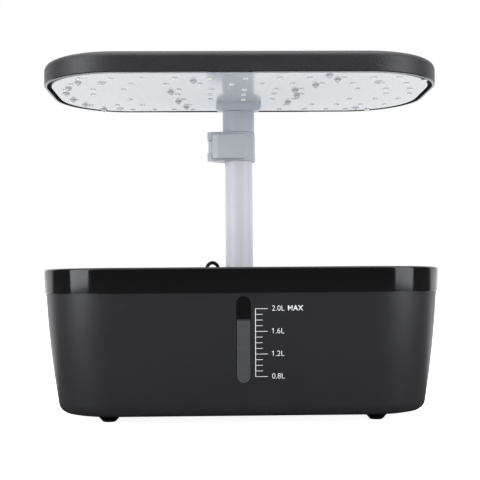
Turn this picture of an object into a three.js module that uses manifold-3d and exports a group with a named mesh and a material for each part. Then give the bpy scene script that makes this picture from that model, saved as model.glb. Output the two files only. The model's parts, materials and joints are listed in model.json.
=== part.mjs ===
// A countertop hydroponic garden. A tapered water tank stands on four rubber feet. A planting deck
// lifts off it, with eight grow baskets, a filling lid, two push buttons and a small pump that hangs
// in the water. A lamp slides up and down on a telescopic pole and is held by a clamp with a lever.
// Millimetres, +Z up, -Y is the front with the water window, origin on the table under the centre.
import * as THREE from 'three';
import { mergeVertices } from 'three/addons/utils/BufferGeometryUtils.js';
import Module from 'manifold-3d';

// Clearances
const seatGap = 0.3;
const runningGap = 0.15;
const cutOverrun = 2;
const joinDepth = 0.15;

// Outline of the deck rim, seen from above
const rimLength = 270;
const rimDepth = 142;
const rimCornerRadius = 52;

// Tank
const footHeight = 4.9;
const tankHeight = 80;
const tankOverhang = 1.4;
const tankDraft = 4.9;
const tankBow = 4.9;
const tankFillet = 7.5;
const tankWall = 2.6;
const tankFloor = 2.6;
const tankInnerFillet = 7;
const tongueHeight = 3.6;
const tongueInset = 1.1;

// Feet
const footTopRadius = 8.2;
const footBottomRadius = 4.2;
const footStemRadius = 2.5;
const footStemHeight = 1.5;
const footEndMargin = 46;
const footSideMargin = 34;

// Water window
const windowWidth = 9.2;
const windowHeight = 55.9;
const windowBottom = 26.7;
const windowFlange = 2.4;
const windowFlangeThickness = 1.4;
const windowSealThickness = 1.0;
const windowSkin = 0.2;

// Deck
const rimHeight = 16.2;
const rimDraft = 0.7;
const rimTopWidth = 6.4;
const rimOuterRound = 1.6;
const rimInnerRound = 1.0;
const rimWall = 2.15;
const plateDrop = 4.6;
const plateThickness = 2.2;
const skirtInset = 8.8;
const skirtWall = 1.6;
const skirtDepth = 26.9;

// Pods and grow baskets
const podEndSpace = 21.4;
const podLidGap = 4.2;
const podIslandGap = 2.4;
const podPairGap = 8.8;
const basketFlangeOverlap = 2.4;
const basketFlangeThickness = 1.5;
const basketDepth = 45;
const basketBottomShare = 0.737;
const basketHoleShare = 0.296;
const basketWall = 1.2;
const basketSlots = 6;
const basketSlotWidth = 4.4;
const basketSlotHeight = 24;
const basketSlotLift = 6;
const basketLift = 50;

// Control island behind the middle of the deck
const islandWidth = 64;
const islandDepth = 49;
const islandRise = 3.6;
const islandCorner = 5;
const islandWall = 2;
const islandSkin = 1.8;
const boxBottomDrop = 20.8;
const postRadius = 2.8;
const postHeight = 10.7;
const postInset = 4;

// Telescopic pole
const poleBackMargin = 21;
const outerTubeRadius = 10.45;
const outerTubeWall = 1.2;
const outerTubeLength = 105.7;
const socketRadius = 13.6;
const socketFloor = 1.6;
const socketLedge = 8.3;
const socketLowerRadius = 8.8;
const innerTubeRadius = 7.8;
const innerTubeWall = 1.0;
const innerTubeLift = 3.7;
const bushHeight = 14;
const lampTravel = 86;

// Clamp on top of the outer tube
const collarRadius = 12.55;
const collarHeight = 21.8;
const collarGrip = 5.8;
const pinX = -19.8;
const pinY = -6.5;
const pinRadius = 1.5;
const earRadius = 4.1;
const upperEarHeight = 6.4;
const lowerEarHeight = 5.8;
const collarSlit = 1.5;
const padWidth = 5;
const padHeight = 7.6;
const padLift = 1.2;
const knuckleRadius = 3.3;
const leverHeight = 17.9;
const leverThickness = 2.5;
const leverLift = 1.3;
const leverFront = 14.3;
const leverLeft = -20.1;
const leverLeftFront = 12.6;
const leverBend = -15.6;
const leverFlatEnd = 0.4;
const leverEnd = 7.9;
const leverStep = 0.6;
const leverCurl = 1.2;
const leverCorner = 5.2;
const leverLeftCorner = 1.5;

// Lamp bracket
const sleeveRadius = 12.1;
const bracketWidth = 33.3;
const bracketFrontReach = 20.3;
const bracketBackReach = 15.6;
const bracketCorner = 5;
const bracketFrontHeight = 6.4;
const bracketSlopeDegrees = 7;
const bracketBevel = 1.2;
const bracketScrewX = 11.5;

// Lamp
const lampLength = 271.3;
const lampDepth = 142.2;
const lampCornerRadius = 53.4;
const lampHeight = 14.5;
const sleeveLength = 21.1;
const lampTopRound = 2.8;
const lampRim = 1.9;
const lampRimBevel = 0.6;
const lampGroove = 2.9;
const lampLedge = 2;
const lampRoof = 2.4;
const boardRecess = 0.9;
const boardThickness = 1.6;
const boardScrewFrontEndMargin = 41.65;
const boardScrewBackEndMargin = 44.35;
const boardScrewFrontMargin = 33.6;
const boardScrewBackMargin = 15.6;
const screwHeadRadius = 3.2;
const screwHeadHeight = 1.5;
const screwShankRadius = 1.5;
const screwLength = 8;
const screwBossRadius = 3.6;

// Light chips, in straight rows
const chipLength = 3.5;
const chipWidth = 2.8;
const chipHeight = 0.8;
const chipRowShares = [-0.724, -0.464, -0.218, 0.028, 0.295, 0.605, 0.858];
const chipRowMargins = [9.8, 13.1, 8.6, 7.1, 10.9, 11.4, 6.6];
const chipRowCounts = [11, 12, 12, 12, 12, 12, 11];
const chipClear = 7;
const terminalSize = 7;
const terminalHeight = 4.6;

// Filling port and its lid, at the right end of the deck
const portEndMargin = 31;
const portLength = 22;
const portWidth = 18;
const portCorner = 4;
const lidMargin = 3.2;
const lidThickness = 1.6;
const lidTab = 2.4;
const lidTabWidth = 9;
const hingeKnuckleRadius = 1.6;
const hingeKnuckleLength = 14;
const hingePinRadius = 0.9;
const hingeEarThickness = 2.4;
const hingeEarHalf = 1.9;

// Buttons, indicator and control board
const buttonX = 14;
const buttonInset = 9.5;
const buttonRadius = 5;
const buttonRise = 0.8;
const buttonFlange = 1.1;
const buttonFlangeThickness = 1.4;
const buttonStemRadius = 1.8;
const buttonTravel = 1;
const lensRadius = 2;
const lensFlange = 0.8;
const lensDepth = 3;
const controlBoardThickness = 1.6;
const controlBoardDepth = 11.7;
const boardArmWidth = 14.8;
const switchSize = 6;
const switchHeight = 4.6;
const plugLength = 7;
const plugHeight = 4.6;

// Power inlet in the back of the rim
const inletX = 22;
const inletRadius = 4;
const inletBoreRadius = 2.9;
const inletBoreDepth = 9;
const inletPinRadius = 1;
const inletBodyWidth = 8.8;
const inletBodyHeight = 8.4;
const inletBodyLength = 8.5;
const inletRecess = 0.4;

// Control box cover with the arms that carry the pump
const coverThickness = 2;
const armWidth = 12;
const armThickness = 2.4;
const armHook = 3;
const armSetback = 12;

// Pump
const pumpWidth = 34;
const pumpLength = 26;
const pumpHeight = 24;
const pumpInset = 4;
const pumpLiftFromFloor = 4.5;
const pumpCorner = 3;
const chamberRadius = 9;
const chamberDepth = 8.4;
const pumpCoverThickness = 2.4;
const grilleSlots = 5;
const grilleSlotWidth = 1.8;
const grilleSlotHeight = 13;
const grillePitch = 3.4;
const spoutRadius = 3.4;
const spoutBore = 2.1;
const spoutLength = 7;
const shaftRadius = 0.8;
const impellerHub = 2.6;
const impellerLength = 6.6;
const impellerReach = 8;
const bladeCount = 5;
const bladeThickness = 1.0;

// Leads
const leadRadius = 1.35;
const leadHoleGap = 0.4;
const loopOuterX = -25.1;
const loopOuterSetback = 4;
const loopInnerX = -15.9;
const loopInnerSetback = 3;
const loopTop = 7;
const loopSteps = 6;
const leadExitX = -8;
const leadExitHeight = 15;
const leadSwing = 5;
const leadRouteShares = [
  [0, 0.6, 0], [0.175, 1, 0.143], [0.7, 0.8, 0.43], [1.017, -0.4, 0.694], [1, -1.12, 0.878],
];
const chimneyRadius = 3.2;
const grommetMargin = 2;
const grommetThickness = 1.2;
const coilRadius = 4.4;
const coilTurns = 6;
const coilMargin = 9;
const coilSides = 5;
const coilSteps = 8;
const leadSteps = 46;

// Faces
const cornerSteps = 12;
const roundSteps = 24;
const podSteps = 12;
const smallSteps = 8;
const filletSteps = 3;
const wallSteps = 4;

// Heights that follow from the sizes
const tankShoulder = footHeight + tankHeight;
const tongueTop = tankShoulder + tongueHeight;
const floorTop = footHeight + tankFloor;
const rimBottom = tankShoulder + seatGap;
const rimTop = rimBottom + rimHeight;
const plateTop = rimTop - plateDrop;
const plateBottom = plateTop - plateThickness;
const skirtBottom = plateBottom - skirtDepth;
const islandTop = plateTop + islandRise;
const skinBottom = islandTop - islandSkin;
const boxBottom = plateTop - boxBottomDrop;
const socketFloorTop = boxBottom + socketFloor;
const outerTubeBottom = boxBottom + socketLedge + seatGap;
const outerTubeTop = outerTubeBottom + outerTubeLength;
const collarBottom = outerTubeTop - collarGrip;
const collarTop = collarBottom + collarHeight;
const sleeveBottom = collarTop + seatGap;
const boardBottom = sleeveBottom + sleeveLength + seatGap;
const bracketTop = boardBottom - seatGap;
const boardTop = boardBottom + boardThickness;
const lampBottom = boardBottom - boardRecess;
const lampTop = lampBottom + lampHeight;
const innerTubeBottom = outerTubeBottom + innerTubeLift;
const bracketBoreTop = bracketTop - bracketFrontHeight;
const innerTubeTop = bracketBoreTop - seatGap;
const controlBoardBottom = boxBottom + postHeight + seatGap;
const controlBoardTop = controlBoardBottom + controlBoardThickness;
const coverTop = boxBottom - seatGap;
const pumpBottom = floorTop + pumpLiftFromFloor;
const pumpTop = pumpBottom + pumpHeight;
const inletZ = controlBoardTop + seatGap + inletBodyHeight / 2;

// Plan places that follow from the sizes
const rimHalfX = rimLength / 2;
const rimHalfY = rimDepth / 2;
const poleY = rimHalfY - poleBackMargin;
const islandFront = rimHalfY - islandDepth;
const buttonY = islandFront + buttonInset;
const pumpFront = islandFront + pumpInset;
const armFront = pumpFront + armSetback;
const loopOuterY = poleY - loopOuterSetback;
const loopInnerY = poleY + loopInnerSetback;
const portX = rimHalfX - portEndMargin;
const islandBack = rimHalfY - rimTopWidth + joinDepth;
const skirtInnerY = rimHalfY - skirtInset - skirtWall;
const podRun = rimHalfX - podEndSpace - islandWidth / 2 - podIslandGap;
const basketFlangeRadius = (podRun - podPairGap) / 4;
const podRadius = basketFlangeRadius - basketFlangeOverlap;
const basketBottomRadius = podRadius * basketBottomShare;
const basketFootHole = podRadius * basketHoleShare;
const lidHalfY = portWidth / 2 + lidMargin;
const podEndX = rimHalfX - podEndSpace - basketFlangeRadius;
const podSideY = lidHalfY + podLidGap + basketFlangeRadius;
const podInnerBackX = islandWidth / 2 + podIslandGap + basketFlangeRadius;
const pumpMiddleY = pumpFront + pumpLength / 2;
const lidInnerX = portX - portLength / 2 - lidMargin;
const lidOuterX = portX + portLength / 2 + lidMargin;
const hingeX = lidOuterX + seatGap + hingeEarHalf;
const hingeZ = plateTop + seatGap + hingeKnuckleRadius;

const wasm = await Module();
wasm.setup();

// Solids from three.js geometry, and back
function signedVolume(positions, faces) {
  const corner = [new THREE.Vector3(), new THREE.Vector3(), new THREE.Vector3()];
  let sum = 0;
  for (let face = 0; face < faces.length; face += 3) {
    corner.forEach((point, k) => point.fromArray(positions, faces[face + k] * 3));
    sum += corner[0].dot(corner[1].cross(corner[2]));
  }
  return sum / 6;
}

function toSolid(geometry) {
  const bare = geometry.clone();
  bare.deleteAttribute('normal');
  bare.deleteAttribute('uv');
  const merged = mergeVertices(bare);
  const positions = merged.attributes.position.array;
  const source = merged.index.array;
  const faces = [];
  for (let k = 0; k < source.length; k += 3) {
    const [a, b, c] = [source[k], source[k + 1], source[k + 2]];
    if (a !== b && b !== c && c !== a) faces.push(a, b, c);
  }
  if (signedVolume(positions, faces) < 0) faces.reverse();
  const mesh = new wasm.Mesh({
    numProp: 3,
    vertProperties: new Float32Array(positions),
    triVerts: new Uint32Array(faces),
  });
  return new wasm.Manifold(mesh);
}

function toGeometry(solid) {
  const mesh = solid.getMesh();
  const geometry = new THREE.BufferGeometry();
  geometry.setAttribute('position', new THREE.BufferAttribute(mesh.vertProperties, 3));
  geometry.setIndex(new THREE.BufferAttribute(mesh.triVerts, 1));
  geometry.computeVertexNormals();
  return geometry;
}

// The same solid turned, mirrored or shifted
function moved(solid, matrix) {
  return toSolid(toGeometry(solid).applyMatrix4(matrix));
}

const turnedZ = (solid, angle) => moved(solid, new THREE.Matrix4().makeRotationZ(angle));
const turnedY = (solid, angle) => moved(solid, new THREE.Matrix4().makeRotationY(angle));
const shifted = (solid, x, y, z) => moved(solid, new THREE.Matrix4().makeTranslation(x, y, z));
const mirrored = (solid, x, y, z) => moved(solid, new THREE.Matrix4().makeScale(x, y, z));

// Basic forms, each returned as a solid
function box(x0, x1, y0, y1, z0, z1) {
  const geometry = new THREE.BoxGeometry(x1 - x0, y1 - y0, z1 - z0);
  return toSolid(geometry.translate((x0 + x1) / 2, (y0 + y1) / 2, (z0 + z1) / 2));
}

function upright(radius, z0, z1, x = 0, y = 0, steps = roundSteps, topRadius = radius) {
  const geometry = new THREE.CylinderGeometry(topRadius, radius, z1 - z0, steps);
  return toSolid(geometry.rotateX(Math.PI / 2).translate(x, y, (z0 + z1) / 2));
}

// An upright cutter that runs past both ends of what it cuts
function drill(radius, z0, z1, x = 0, y = 0, steps = smallSteps) {
  return upright(radius, z0 - cutOverrun, z1 + cutOverrun, x, y, steps);
}

function alongY(radius, y0, y1, x, z, steps = smallSteps) {
  const geometry = new THREE.CylinderGeometry(radius, radius, y1 - y0, steps);
  return toSolid(geometry.translate(x, (y0 + y1) / 2, z));
}

function alongX(radius, x0, x1, y, z, steps = smallSteps) {
  const geometry = new THREE.CylinderGeometry(radius, radius, x1 - x0, steps);
  return toSolid(geometry.rotateZ(Math.PI / 2).translate((x0 + x1) / 2, y, z));
}

function revolve(profile, steps = roundSteps) {
  const points = profile.map(([radius, z]) => new THREE.Vector2(radius, z));
  return toSolid(new THREE.LatheGeometry(points, steps).rotateX(Math.PI / 2));
}

function extrudeUp(shape, z0, z1, curveSegments = filletSteps) {
  const options = { depth: z1 - z0, bevelEnabled: false, curveSegments };
  return toSolid(new THREE.ExtrudeGeometry(shape, options).translate(0, 0, z0));
}

// Extrudes a front view, drawn in X and Z, from y0 to y1
function extrudeBack(shape, y0, y1, curveSegments = filletSteps) {
  const options = { depth: y1 - y0, bevelEnabled: false, curveSegments };
  return toSolid(new THREE.ExtrudeGeometry(shape, options).rotateX(Math.PI / 2).translate(0, y1, 0));
}

function roundedRect(x0, x1, y0, y1, radius) {
  const shape = new THREE.Shape();
  shape.absarc(x1 - radius, y0 + radius, radius, -Math.PI / 2, 0);
  shape.absarc(x1 - radius, y1 - radius, radius, 0, Math.PI / 2);
  shape.absarc(x0 + radius, y1 - radius, radius, Math.PI / 2, Math.PI);
  shape.absarc(x0 + radius, y0 + radius, radius, Math.PI, Math.PI * 1.5);
  return shape;
}

// The outline of two circles with a belt round them
function belt(xa, ya, ra, xb, yb, rb) {
  const turn = Math.atan2(yb - ya, xb - xa);
  const spread = Math.acos((ra - rb) / Math.hypot(xb - xa, yb - ya));
  const shape = new THREE.Shape();
  shape.absarc(xa, ya, ra, turn + spread, turn - spread + Math.PI * 2);
  shape.absarc(xb, yb, rb, turn - spread, turn + spread);
  return shape;
}

// A round-cornered loop at one height, drawn inwards by an inset
function cornerLoop(halfX, halfY, radius, inset, z, steps = cornerSteps) {
  const loop = [];
  const reach = radius - inset;
  const height = typeof z === 'function' ? z : () => z;
  for (let corner = 0; corner < 4; corner += 1) {
    const signX = corner === 0 || corner === 3 ? 1 : -1;
    const signY = corner < 2 ? 1 : -1;
    for (let step = 0; step <= steps; step += 1) {
      const angle = (Math.PI / 2) * (corner + step / steps);
      const x = signX * (halfX - radius) + reach * Math.cos(angle);
      const y = signY * (halfY - radius) + reach * Math.sin(angle);
      loop.push(new THREE.Vector3(x, y, height(y)));
    }
  }
  return loop;
}

// Skins a stack of loops and closes it with a flat cap at each end
function loft(loops) {
  const size = loops[0].length;
  const positions = loops.flat().flatMap((point) => point.toArray());
  const faces = [];
  for (let ring = 0; ring < loops.length - 1; ring += 1) {
    for (let k = 0; k < size; k += 1) {
      const a = ring * size + k;
      const b = ring * size + ((k + 1) % size);
      faces.push(a, b, b + size, a, b + size, a + size);
    }
  }
  const last = (loops.length - 1) * size;
  for (let k = 1; k < size - 1; k += 1) {
    faces.push(0, k + 1, k, last, last + k, last + k + 1);
  }
  const geometry = new THREE.BufferGeometry();
  geometry.setAttribute('position', new THREE.Float32BufferAttribute(positions, 3));
  geometry.setIndex(faces);
  return toSolid(geometry);
}

// Quarter-round points of [inset, z], from the first to the second direction in quarter turns
function quarterRound(insetCentre, zCentre, radius, fromTurn, toTurn, steps = filletSteps) {
  const points = [];
  for (let step = 0; step <= steps; step += 1) {
    const angle = (Math.PI / 2) * (fromTurn + ((toTurn - fromTurn) * step) / steps);
    points.push([insetCentre - radius * Math.cos(angle), zCentre + radius * Math.sin(angle)]);
  }
  return points;
}

// A round tube along a list of points, with straight ends
function cord(points, radius, steps, sides) {
  const curve = new THREE.CatmullRomCurve3(points.map((point) => new THREE.Vector3(...point)));
  const section = new THREE.Shape();
  for (let side = 0; side < sides; side += 1) {
    const angle = (Math.PI * 2 * side) / sides;
    section[side ? 'lineTo' : 'moveTo'](radius * Math.cos(angle), radius * Math.sin(angle));
  }
  section.closePath();
  const options = { steps, bevelEnabled: false, extrudePath: curve };
  return toSolid(new THREE.ExtrudeGeometry(section, options));
}

// Materials
function paint(color, roughness, metalness = 0) {
  return new THREE.MeshStandardMaterial({ color, roughness, metalness });
}

const satinBlack = () => paint(0x2d2d2f, 0.55);
const glossBlack = () => paint(0x17161a, 0.12);
const rubber = () => paint(0x161618, 0.8);
const greyPlastic = () => paint(0xa4a8ad, 0.45);
const leverGrey = () => paint(0xb4b8ba, 0.45);
const silver = () => paint(0xd2d5d8, 0.32, 0.7);
const boardWhite = () => paint(0xe3e6ea, 0.2);
const boardGreen = () => paint(0x2c5a3a, 0.5);
const steel = () => paint(0x8f9194, 0.3, 0.9);
const smokedClear = () => new THREE.MeshStandardMaterial({
  color: 0x55585e, roughness: 0.15, transparent: true, opacity: 0.6,
});
const basketBlack = () => paint(0x222224, 0.6);

const garden = new THREE.Group();

function place(name, solid, material, group = garden, x = 0, y = 0) {
  const mesh = new THREE.Mesh(toGeometry(solid), material);
  mesh.name = name;
  mesh.position.set(x, y, 0);
  group.add(mesh);
  return mesh;
}

// Tank
const tankHalfX = rimHalfX - tankOverhang;
const tankHalfY = rimHalfY - tankOverhang;
const tankCorner = rimCornerRadius - tankOverhang;

function wallLoss(z) {
  const down = (tankShoulder - z) / tankHeight;
  return tankDraft * down + tankBow * down * down;
}

function tankLoop(inset, z) {
  return cornerLoop(tankHalfX, tankHalfY, tankCorner, inset, z);
}

// A solid filled up to the tank's wall, drawn inwards by an inset, with a rounded foot
function tankForm(inset, bottom, round, top, steps = wallSteps) {
  const footLoss = wallLoss(bottom + round) + inset;
  const foot = quarterRound(footLoss + round, bottom + round, round, -1, 0, filletSteps + 1);
  const loops = foot.map(([edge, z]) => tankLoop(edge, z));
  for (let step = 1; step <= steps; step += 1) {
    const z = bottom + round + ((top - bottom - round) * step) / steps;
    loops.push(tankLoop(wallLoss(z) + inset, z));
  }
  return loops;
}

function windowPrism(grow) {
  const shape = roundedRect(
    -windowWidth / 2 - grow, windowWidth / 2 + grow,
    windowBottom - grow, windowBottom + windowHeight + grow,
    windowWidth / 2 + grow,
  );
  return extrudeBack(shape, -rimHalfY - cutOverrun, 0);
}

// A capsule-shaped slice between two depths under the tank's outer face
function windowLayer(grow, outerInset, innerInset) {
  const outer = loft(tankForm(outerInset, footHeight, tankFillet, tankShoulder + cutOverrun));
  const inner = loft(tankForm(innerInset, footHeight, tankFillet, tankShoulder + cutOverrun * 2));
  return windowPrism(grow).intersect(outer).subtract(inner);
}

const footPlaces = [
  ['front_left', -1, -1], ['front_right', 1, -1], ['rear_left', -1, 1], ['rear_right', 1, 1],
].map(([name, sideX, sideY]) => [
  name, sideX * (rimHalfX - footEndMargin), sideY * (rimHalfY - footSideMargin),
]);

function makeTank() {
  const outer = tankForm(0, footHeight, tankFillet, tankShoulder);
  outer.push(tankLoop(tongueInset, tankShoulder), tankLoop(tongueInset, tongueTop));
  const inner = tankForm(tankWall, floorTop, tankInnerFillet, tankShoulder, wallSteps - 1);
  inner.push(tankLoop(tankWall, tongueTop + cutOverrun));
  let tank = loft(outer).subtract(loft(inner)).subtract(windowPrism(0));
  const socketTop = footHeight + footStemHeight + seatGap;
  for (const [, x, y] of footPlaces) {
    const socket = upright(footStemRadius + seatGap, footHeight - cutOverrun, socketTop, x, y, smallSteps);
    tank = tank.subtract(socket);
  }
  place('tank_shell', tank, satinBlack());
}

function makeWindow() {
  const sealOuter = tankWall + seatGap;
  const flangeOuter = sealOuter + windowSealThickness + seatGap;
  const flangeInner = flangeOuter + windowFlangeThickness;
  const plug = windowLayer(-seatGap, windowSkin, flangeInner);
  const flange = windowLayer(windowFlange, flangeOuter, flangeInner);
  place('water_window', plug.add(flange), smokedClear());
  const seal = windowLayer(windowFlange, sealOuter, sealOuter + windowSealThickness);
  place('window_seal', seal.subtract(windowPrism(0)), rubber());
}

function makeFeet() {
  const top = footHeight - seatGap;
  const profile = [
    [0, 0], [footBottomRadius, 0], [footTopRadius, top], [footStemRadius, top],
    [footStemRadius, footHeight + footStemHeight], [0, footHeight + footStemHeight],
  ];
  for (const [name, x, y] of footPlaces) {
    place(`${name}_foot`, revolve(profile, podSteps), rubber(), garden, x, y);
  }
}

// Deck
function rimLoop(inset, z) {
  return cornerLoop(rimHalfX, rimHalfY, rimCornerRadius, inset, z);
}

function deckTray() {
  const profile = [
    [rimTopWidth, plateTop],
    ...quarterRound(rimTopWidth - rimInnerRound, rimTop - rimInnerRound, rimInnerRound, 2, 1, 1),
    ...quarterRound(rimOuterRound, rimTop - rimOuterRound, rimOuterRound, 1, 0),
    [rimDraft, rimBottom],
    [rimWall, rimBottom],
    [rimWall, plateBottom],
    [skirtInset, plateBottom],
    [skirtInset, skirtBottom],
    [skirtInset + skirtWall, skirtBottom],
    [skirtInset + skirtWall, plateBottom],
  ];
  return loft(profile.map(([inset, z]) => rimLoop(inset, z)));
}

const postPlaces = [
  [-1, islandFront + postInset], [1, islandFront + postInset],
  [-1, skirtInnerY - postInset], [1, skirtInnerY - postInset],
].map(([side, y]) => [side * (islandWidth / 2 - postInset), y]);

function controlBox() {
  const half = islandWidth / 2;
  const block = roundedRect(-half, half, islandFront, islandBack, islandCorner);
  const blockUp = extrudeUp(block, boxBottom, islandTop);
  const inner = roundedRect(
    -half + islandWall, half - islandWall, islandFront + islandWall, skirtInnerY,
    islandCorner - islandWall,
  );
  const hollow = extrudeUp(inner, boxBottom - cutOverrun, skinBottom);
  const postTop = skinBottom + joinDepth;
  let shell = blockUp.subtract(hollow);
  shell = shell.add(upright(socketRadius, boxBottom, postTop, 0, poleY, podSteps));
  shell = shell.add(upright(chimneyRadius, boxBottom, postTop, loopOuterX, loopOuterY, smallSteps));
  for (const [x, y] of postPlaces) {
    shell = shell.add(upright(postRadius, boxBottom, boxBottom + postHeight, x, y, smallSteps));
  }
  return { shell, hollow };
}

function boxCuts() {
  const above = islandTop + cutOverrun;
  const leadHole = leadRadius + leadHoleGap;
  const socketFront = poleY - socketRadius - cutOverrun;
  const cuts = [
    upright(outerTubeRadius + seatGap, boxBottom + socketLedge, above, 0, poleY),
    upright(socketLowerRadius, socketFloorTop, above, 0, poleY),
    alongY(leadHole + leadHoleGap, socketFront, poleY, 0, socketFloorTop + leadRadius * 2),
    drill(leadHole, boxBottom, islandTop, loopOuterX, loopOuterY),
    drill(leadHole, skinBottom, islandTop, loopInnerX, loopInnerY),
    drill(lensRadius + seatGap, skinBottom, islandTop, 0, buttonY),
    alongY(inletRadius + seatGap, skirtInnerY - cutOverrun, rimHalfY + cutOverrun, inletX, inletZ),
  ];
  for (const side of [-1, 1]) {
    cuts.push(drill(buttonRadius + seatGap, skinBottom, islandTop, side * buttonX, buttonY, podSteps));
  }
  const screwTop = boxBottom + screwLength - coverThickness + seatGap;
  for (const [x, y] of postPlaces) {
    cuts.push(upright(screwShankRadius + seatGap, boxBottom - cutOverrun, screwTop, x, y, smallSteps));
  }
  return cuts;
}

function podPlaces() {
  const places = [];
  for (let column = 0; column < 4; column += 1) {
    places.push([podEndX * (-1 + (2 * column) / 3), -podSideY]);
  }
  for (const x of [-podEndX, -podInnerBackX, podInnerBackX, podEndX]) {
    places.push([x, podSideY]);
  }
  return places;
}

function hingeBore(half) {
  return alongY(hingePinRadius + runningGap, -half - cutOverrun, half + cutOverrun, hingeX, hingeZ);
}

function hingeEars() {
  const inner = hingeKnuckleLength / 2 + seatGap;
  const outer = inner + hingeEarThickness;
  const ears = [[-outer, -inner], [inner, outer]].map(([y0, y1]) => (
    box(hingeX - hingeEarHalf, hingeX + hingeEarHalf, y0, y1, plateTop - joinDepth, hingeZ)
      .add(alongY(hingeEarHalf, y0, y1, hingeX, hingeZ))
  ));
  return ears[0].add(ears[1]).subtract(hingeBore(outer));
}

function makeDeck() {
  const { shell, hollow } = controlBox();
  let deck = deckTray().subtract(hollow).add(shell).add(hingeEars());
  for (const cut of boxCuts()) {
    deck = deck.subtract(cut);
  }
  for (const [x, y] of podPlaces()) {
    deck = deck.subtract(drill(podRadius, plateBottom, plateTop, x, y, podSteps));
  }
  const port = roundedRect(
    portX - portLength / 2, portX + portLength / 2, -portWidth / 2, portWidth / 2, portCorner,
  );
  deck = deck.subtract(extrudeUp(port, plateBottom - cutOverrun, plateTop + cutOverrun));
  place('deck', deck, glossBlack());
}

function makeLid() {
  const bottom = plateTop + seatGap;
  const top = bottom + lidThickness;
  const face = roundedRect(lidInnerX, lidOuterX, -lidHalfY, lidHalfY, portCorner);
  const plate = extrudeUp(face, bottom, top);
  const tab = extrudeUp(
    roundedRect(lidInnerX - lidTab, lidInnerX + portCorner, -lidTabWidth / 2, lidTabWidth / 2, lidTab / 2),
    bottom, top,
  );
  const knuckleHalf = hingeKnuckleLength / 2;
  const knuckle = alongY(hingeKnuckleRadius, -knuckleHalf, knuckleHalf, hingeX, hingeZ);
  const web = box(lidOuterX - joinDepth, hingeX, -knuckleHalf, knuckleHalf, bottom, hingeZ);
  place('fill_lid', plate.add(tab).add(knuckle).add(web).subtract(hingeBore(knuckleHalf)), glossBlack());
  const pinHalf = knuckleHalf + seatGap + hingeEarThickness;
  place('lid_hinge_pin', alongY(hingePinRadius, -pinHalf, pinHalf, hingeX, hingeZ), steel());
}

// Grow baskets
function basketSolid() {
  const flangeBottom = plateTop + seatGap;
  const flangeTop = flangeBottom + basketFlangeThickness;
  const bottom = plateTop - basketDepth;
  const throat = podRadius - seatGap;
  const profile = [
    [basketFootHole, bottom],
    [basketBottomRadius, bottom],
    [throat, flangeBottom],
    [basketFlangeRadius, flangeBottom],
    [basketFlangeRadius, flangeTop],
    [throat - basketWall, flangeTop],
    [basketBottomRadius - basketWall, bottom + basketWall],
    [basketFootHole, bottom + basketWall],
    [basketFootHole, bottom],
  ];
  let basket = revolve(profile, podSteps);
  const slotBottom = bottom + basketSlotLift;
  for (let slot = 0; slot < basketSlots; slot += 1) {
    const cutter = box(
      basketFootHole, podRadius + cutOverrun, -basketSlotWidth / 2, basketSlotWidth / 2,
      slotBottom, slotBottom + basketSlotHeight,
    );
    const facet = (Math.PI * 2) / podSteps;
    basket = basket.subtract(turnedZ(cutter, facet / 2 + (Math.PI * 2 * slot) / basketSlots));
  }
  return basket;
}

function makeBaskets() {
  podPlaces().forEach(([x, y], index) => {
    place(`grow_basket_${index + 1}`, basketSolid(), basketBlack(), garden, x, y);
  });
}

// Controls and power inlet
function makeControls() {
  const flangeTop = skinBottom - seatGap;
  const flangeBottom = flangeTop - buttonFlangeThickness;
  const stemBottom = controlBoardTop + switchHeight + seatGap + buttonTravel;
  for (const [name, side] of [['light_button', -1], ['pump_button', 1]]) {
    const button = revolve([
      [0, stemBottom], [buttonStemRadius, stemBottom], [buttonStemRadius, flangeBottom],
      [buttonRadius + buttonFlange, flangeBottom], [buttonRadius + buttonFlange, flangeTop],
      [buttonRadius, flangeTop], [buttonRadius, islandTop + buttonRise], [0, islandTop + buttonRise],
    ], podSteps);
    place(name, button, greyPlastic(), garden, side * buttonX, buttonY);
  }
  const lens = revolve([
    [0, islandTop - lensDepth], [lensRadius + lensFlange, islandTop - lensDepth],
    [lensRadius + lensFlange, skinBottom - seatGap], [lensRadius, skinBottom - seatGap],
    [lensRadius, islandTop + seatGap], [0, islandTop + seatGap],
  ], smallSteps);
  place('indicator_lens', lens, smokedClear(), garden, 0, buttonY);
}

function makeControlBoard() {
  const half = islandWidth / 2 - islandWall - seatGap;
  const front = islandFront + islandWall + seatGap;
  const middle = front + controlBoardDepth;
  const back = skirtInnerY - seatGap;
  const cut = islandCorner - islandWall;
  const outline = new THREE.Shape();
  outline.moveTo(-half + cut, front);
  outline.lineTo(half - cut, front);
  outline.lineTo(half, front + cut);
  outline.lineTo(half, back - cut);
  outline.lineTo(half - cut, back);
  outline.lineTo(half - boardArmWidth, back);
  outline.lineTo(half - boardArmWidth, middle);
  outline.lineTo(-half, middle);
  outline.lineTo(-half, front + cut);
  outline.closePath();
  let board = extrudeUp(outline, controlBoardBottom, controlBoardTop);
  const rounding = switchSize / 2;
  for (const side of [-1, 1]) {
    const x = side * buttonX;
    const body = box(
      x - rounding, x + rounding, buttonY - rounding, buttonY + rounding,
      controlBoardTop - joinDepth, controlBoardTop + switchHeight / 2,
    );
    const plunger = upright(
      buttonStemRadius, controlBoardTop, controlBoardTop + switchHeight, x, buttonY, smallSteps,
    );
    board = board.add(body).add(plunger);
  }
  const plugX = loopInnerX;
  const plug = box(
    plugX - plugLength / 2, plugX + plugLength / 2, middle - plugLength / 2, middle,
    controlBoardTop - joinDepth, controlBoardTop + plugHeight,
  );
  place('control_board', board.add(plug), boardGreen());
}

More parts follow.
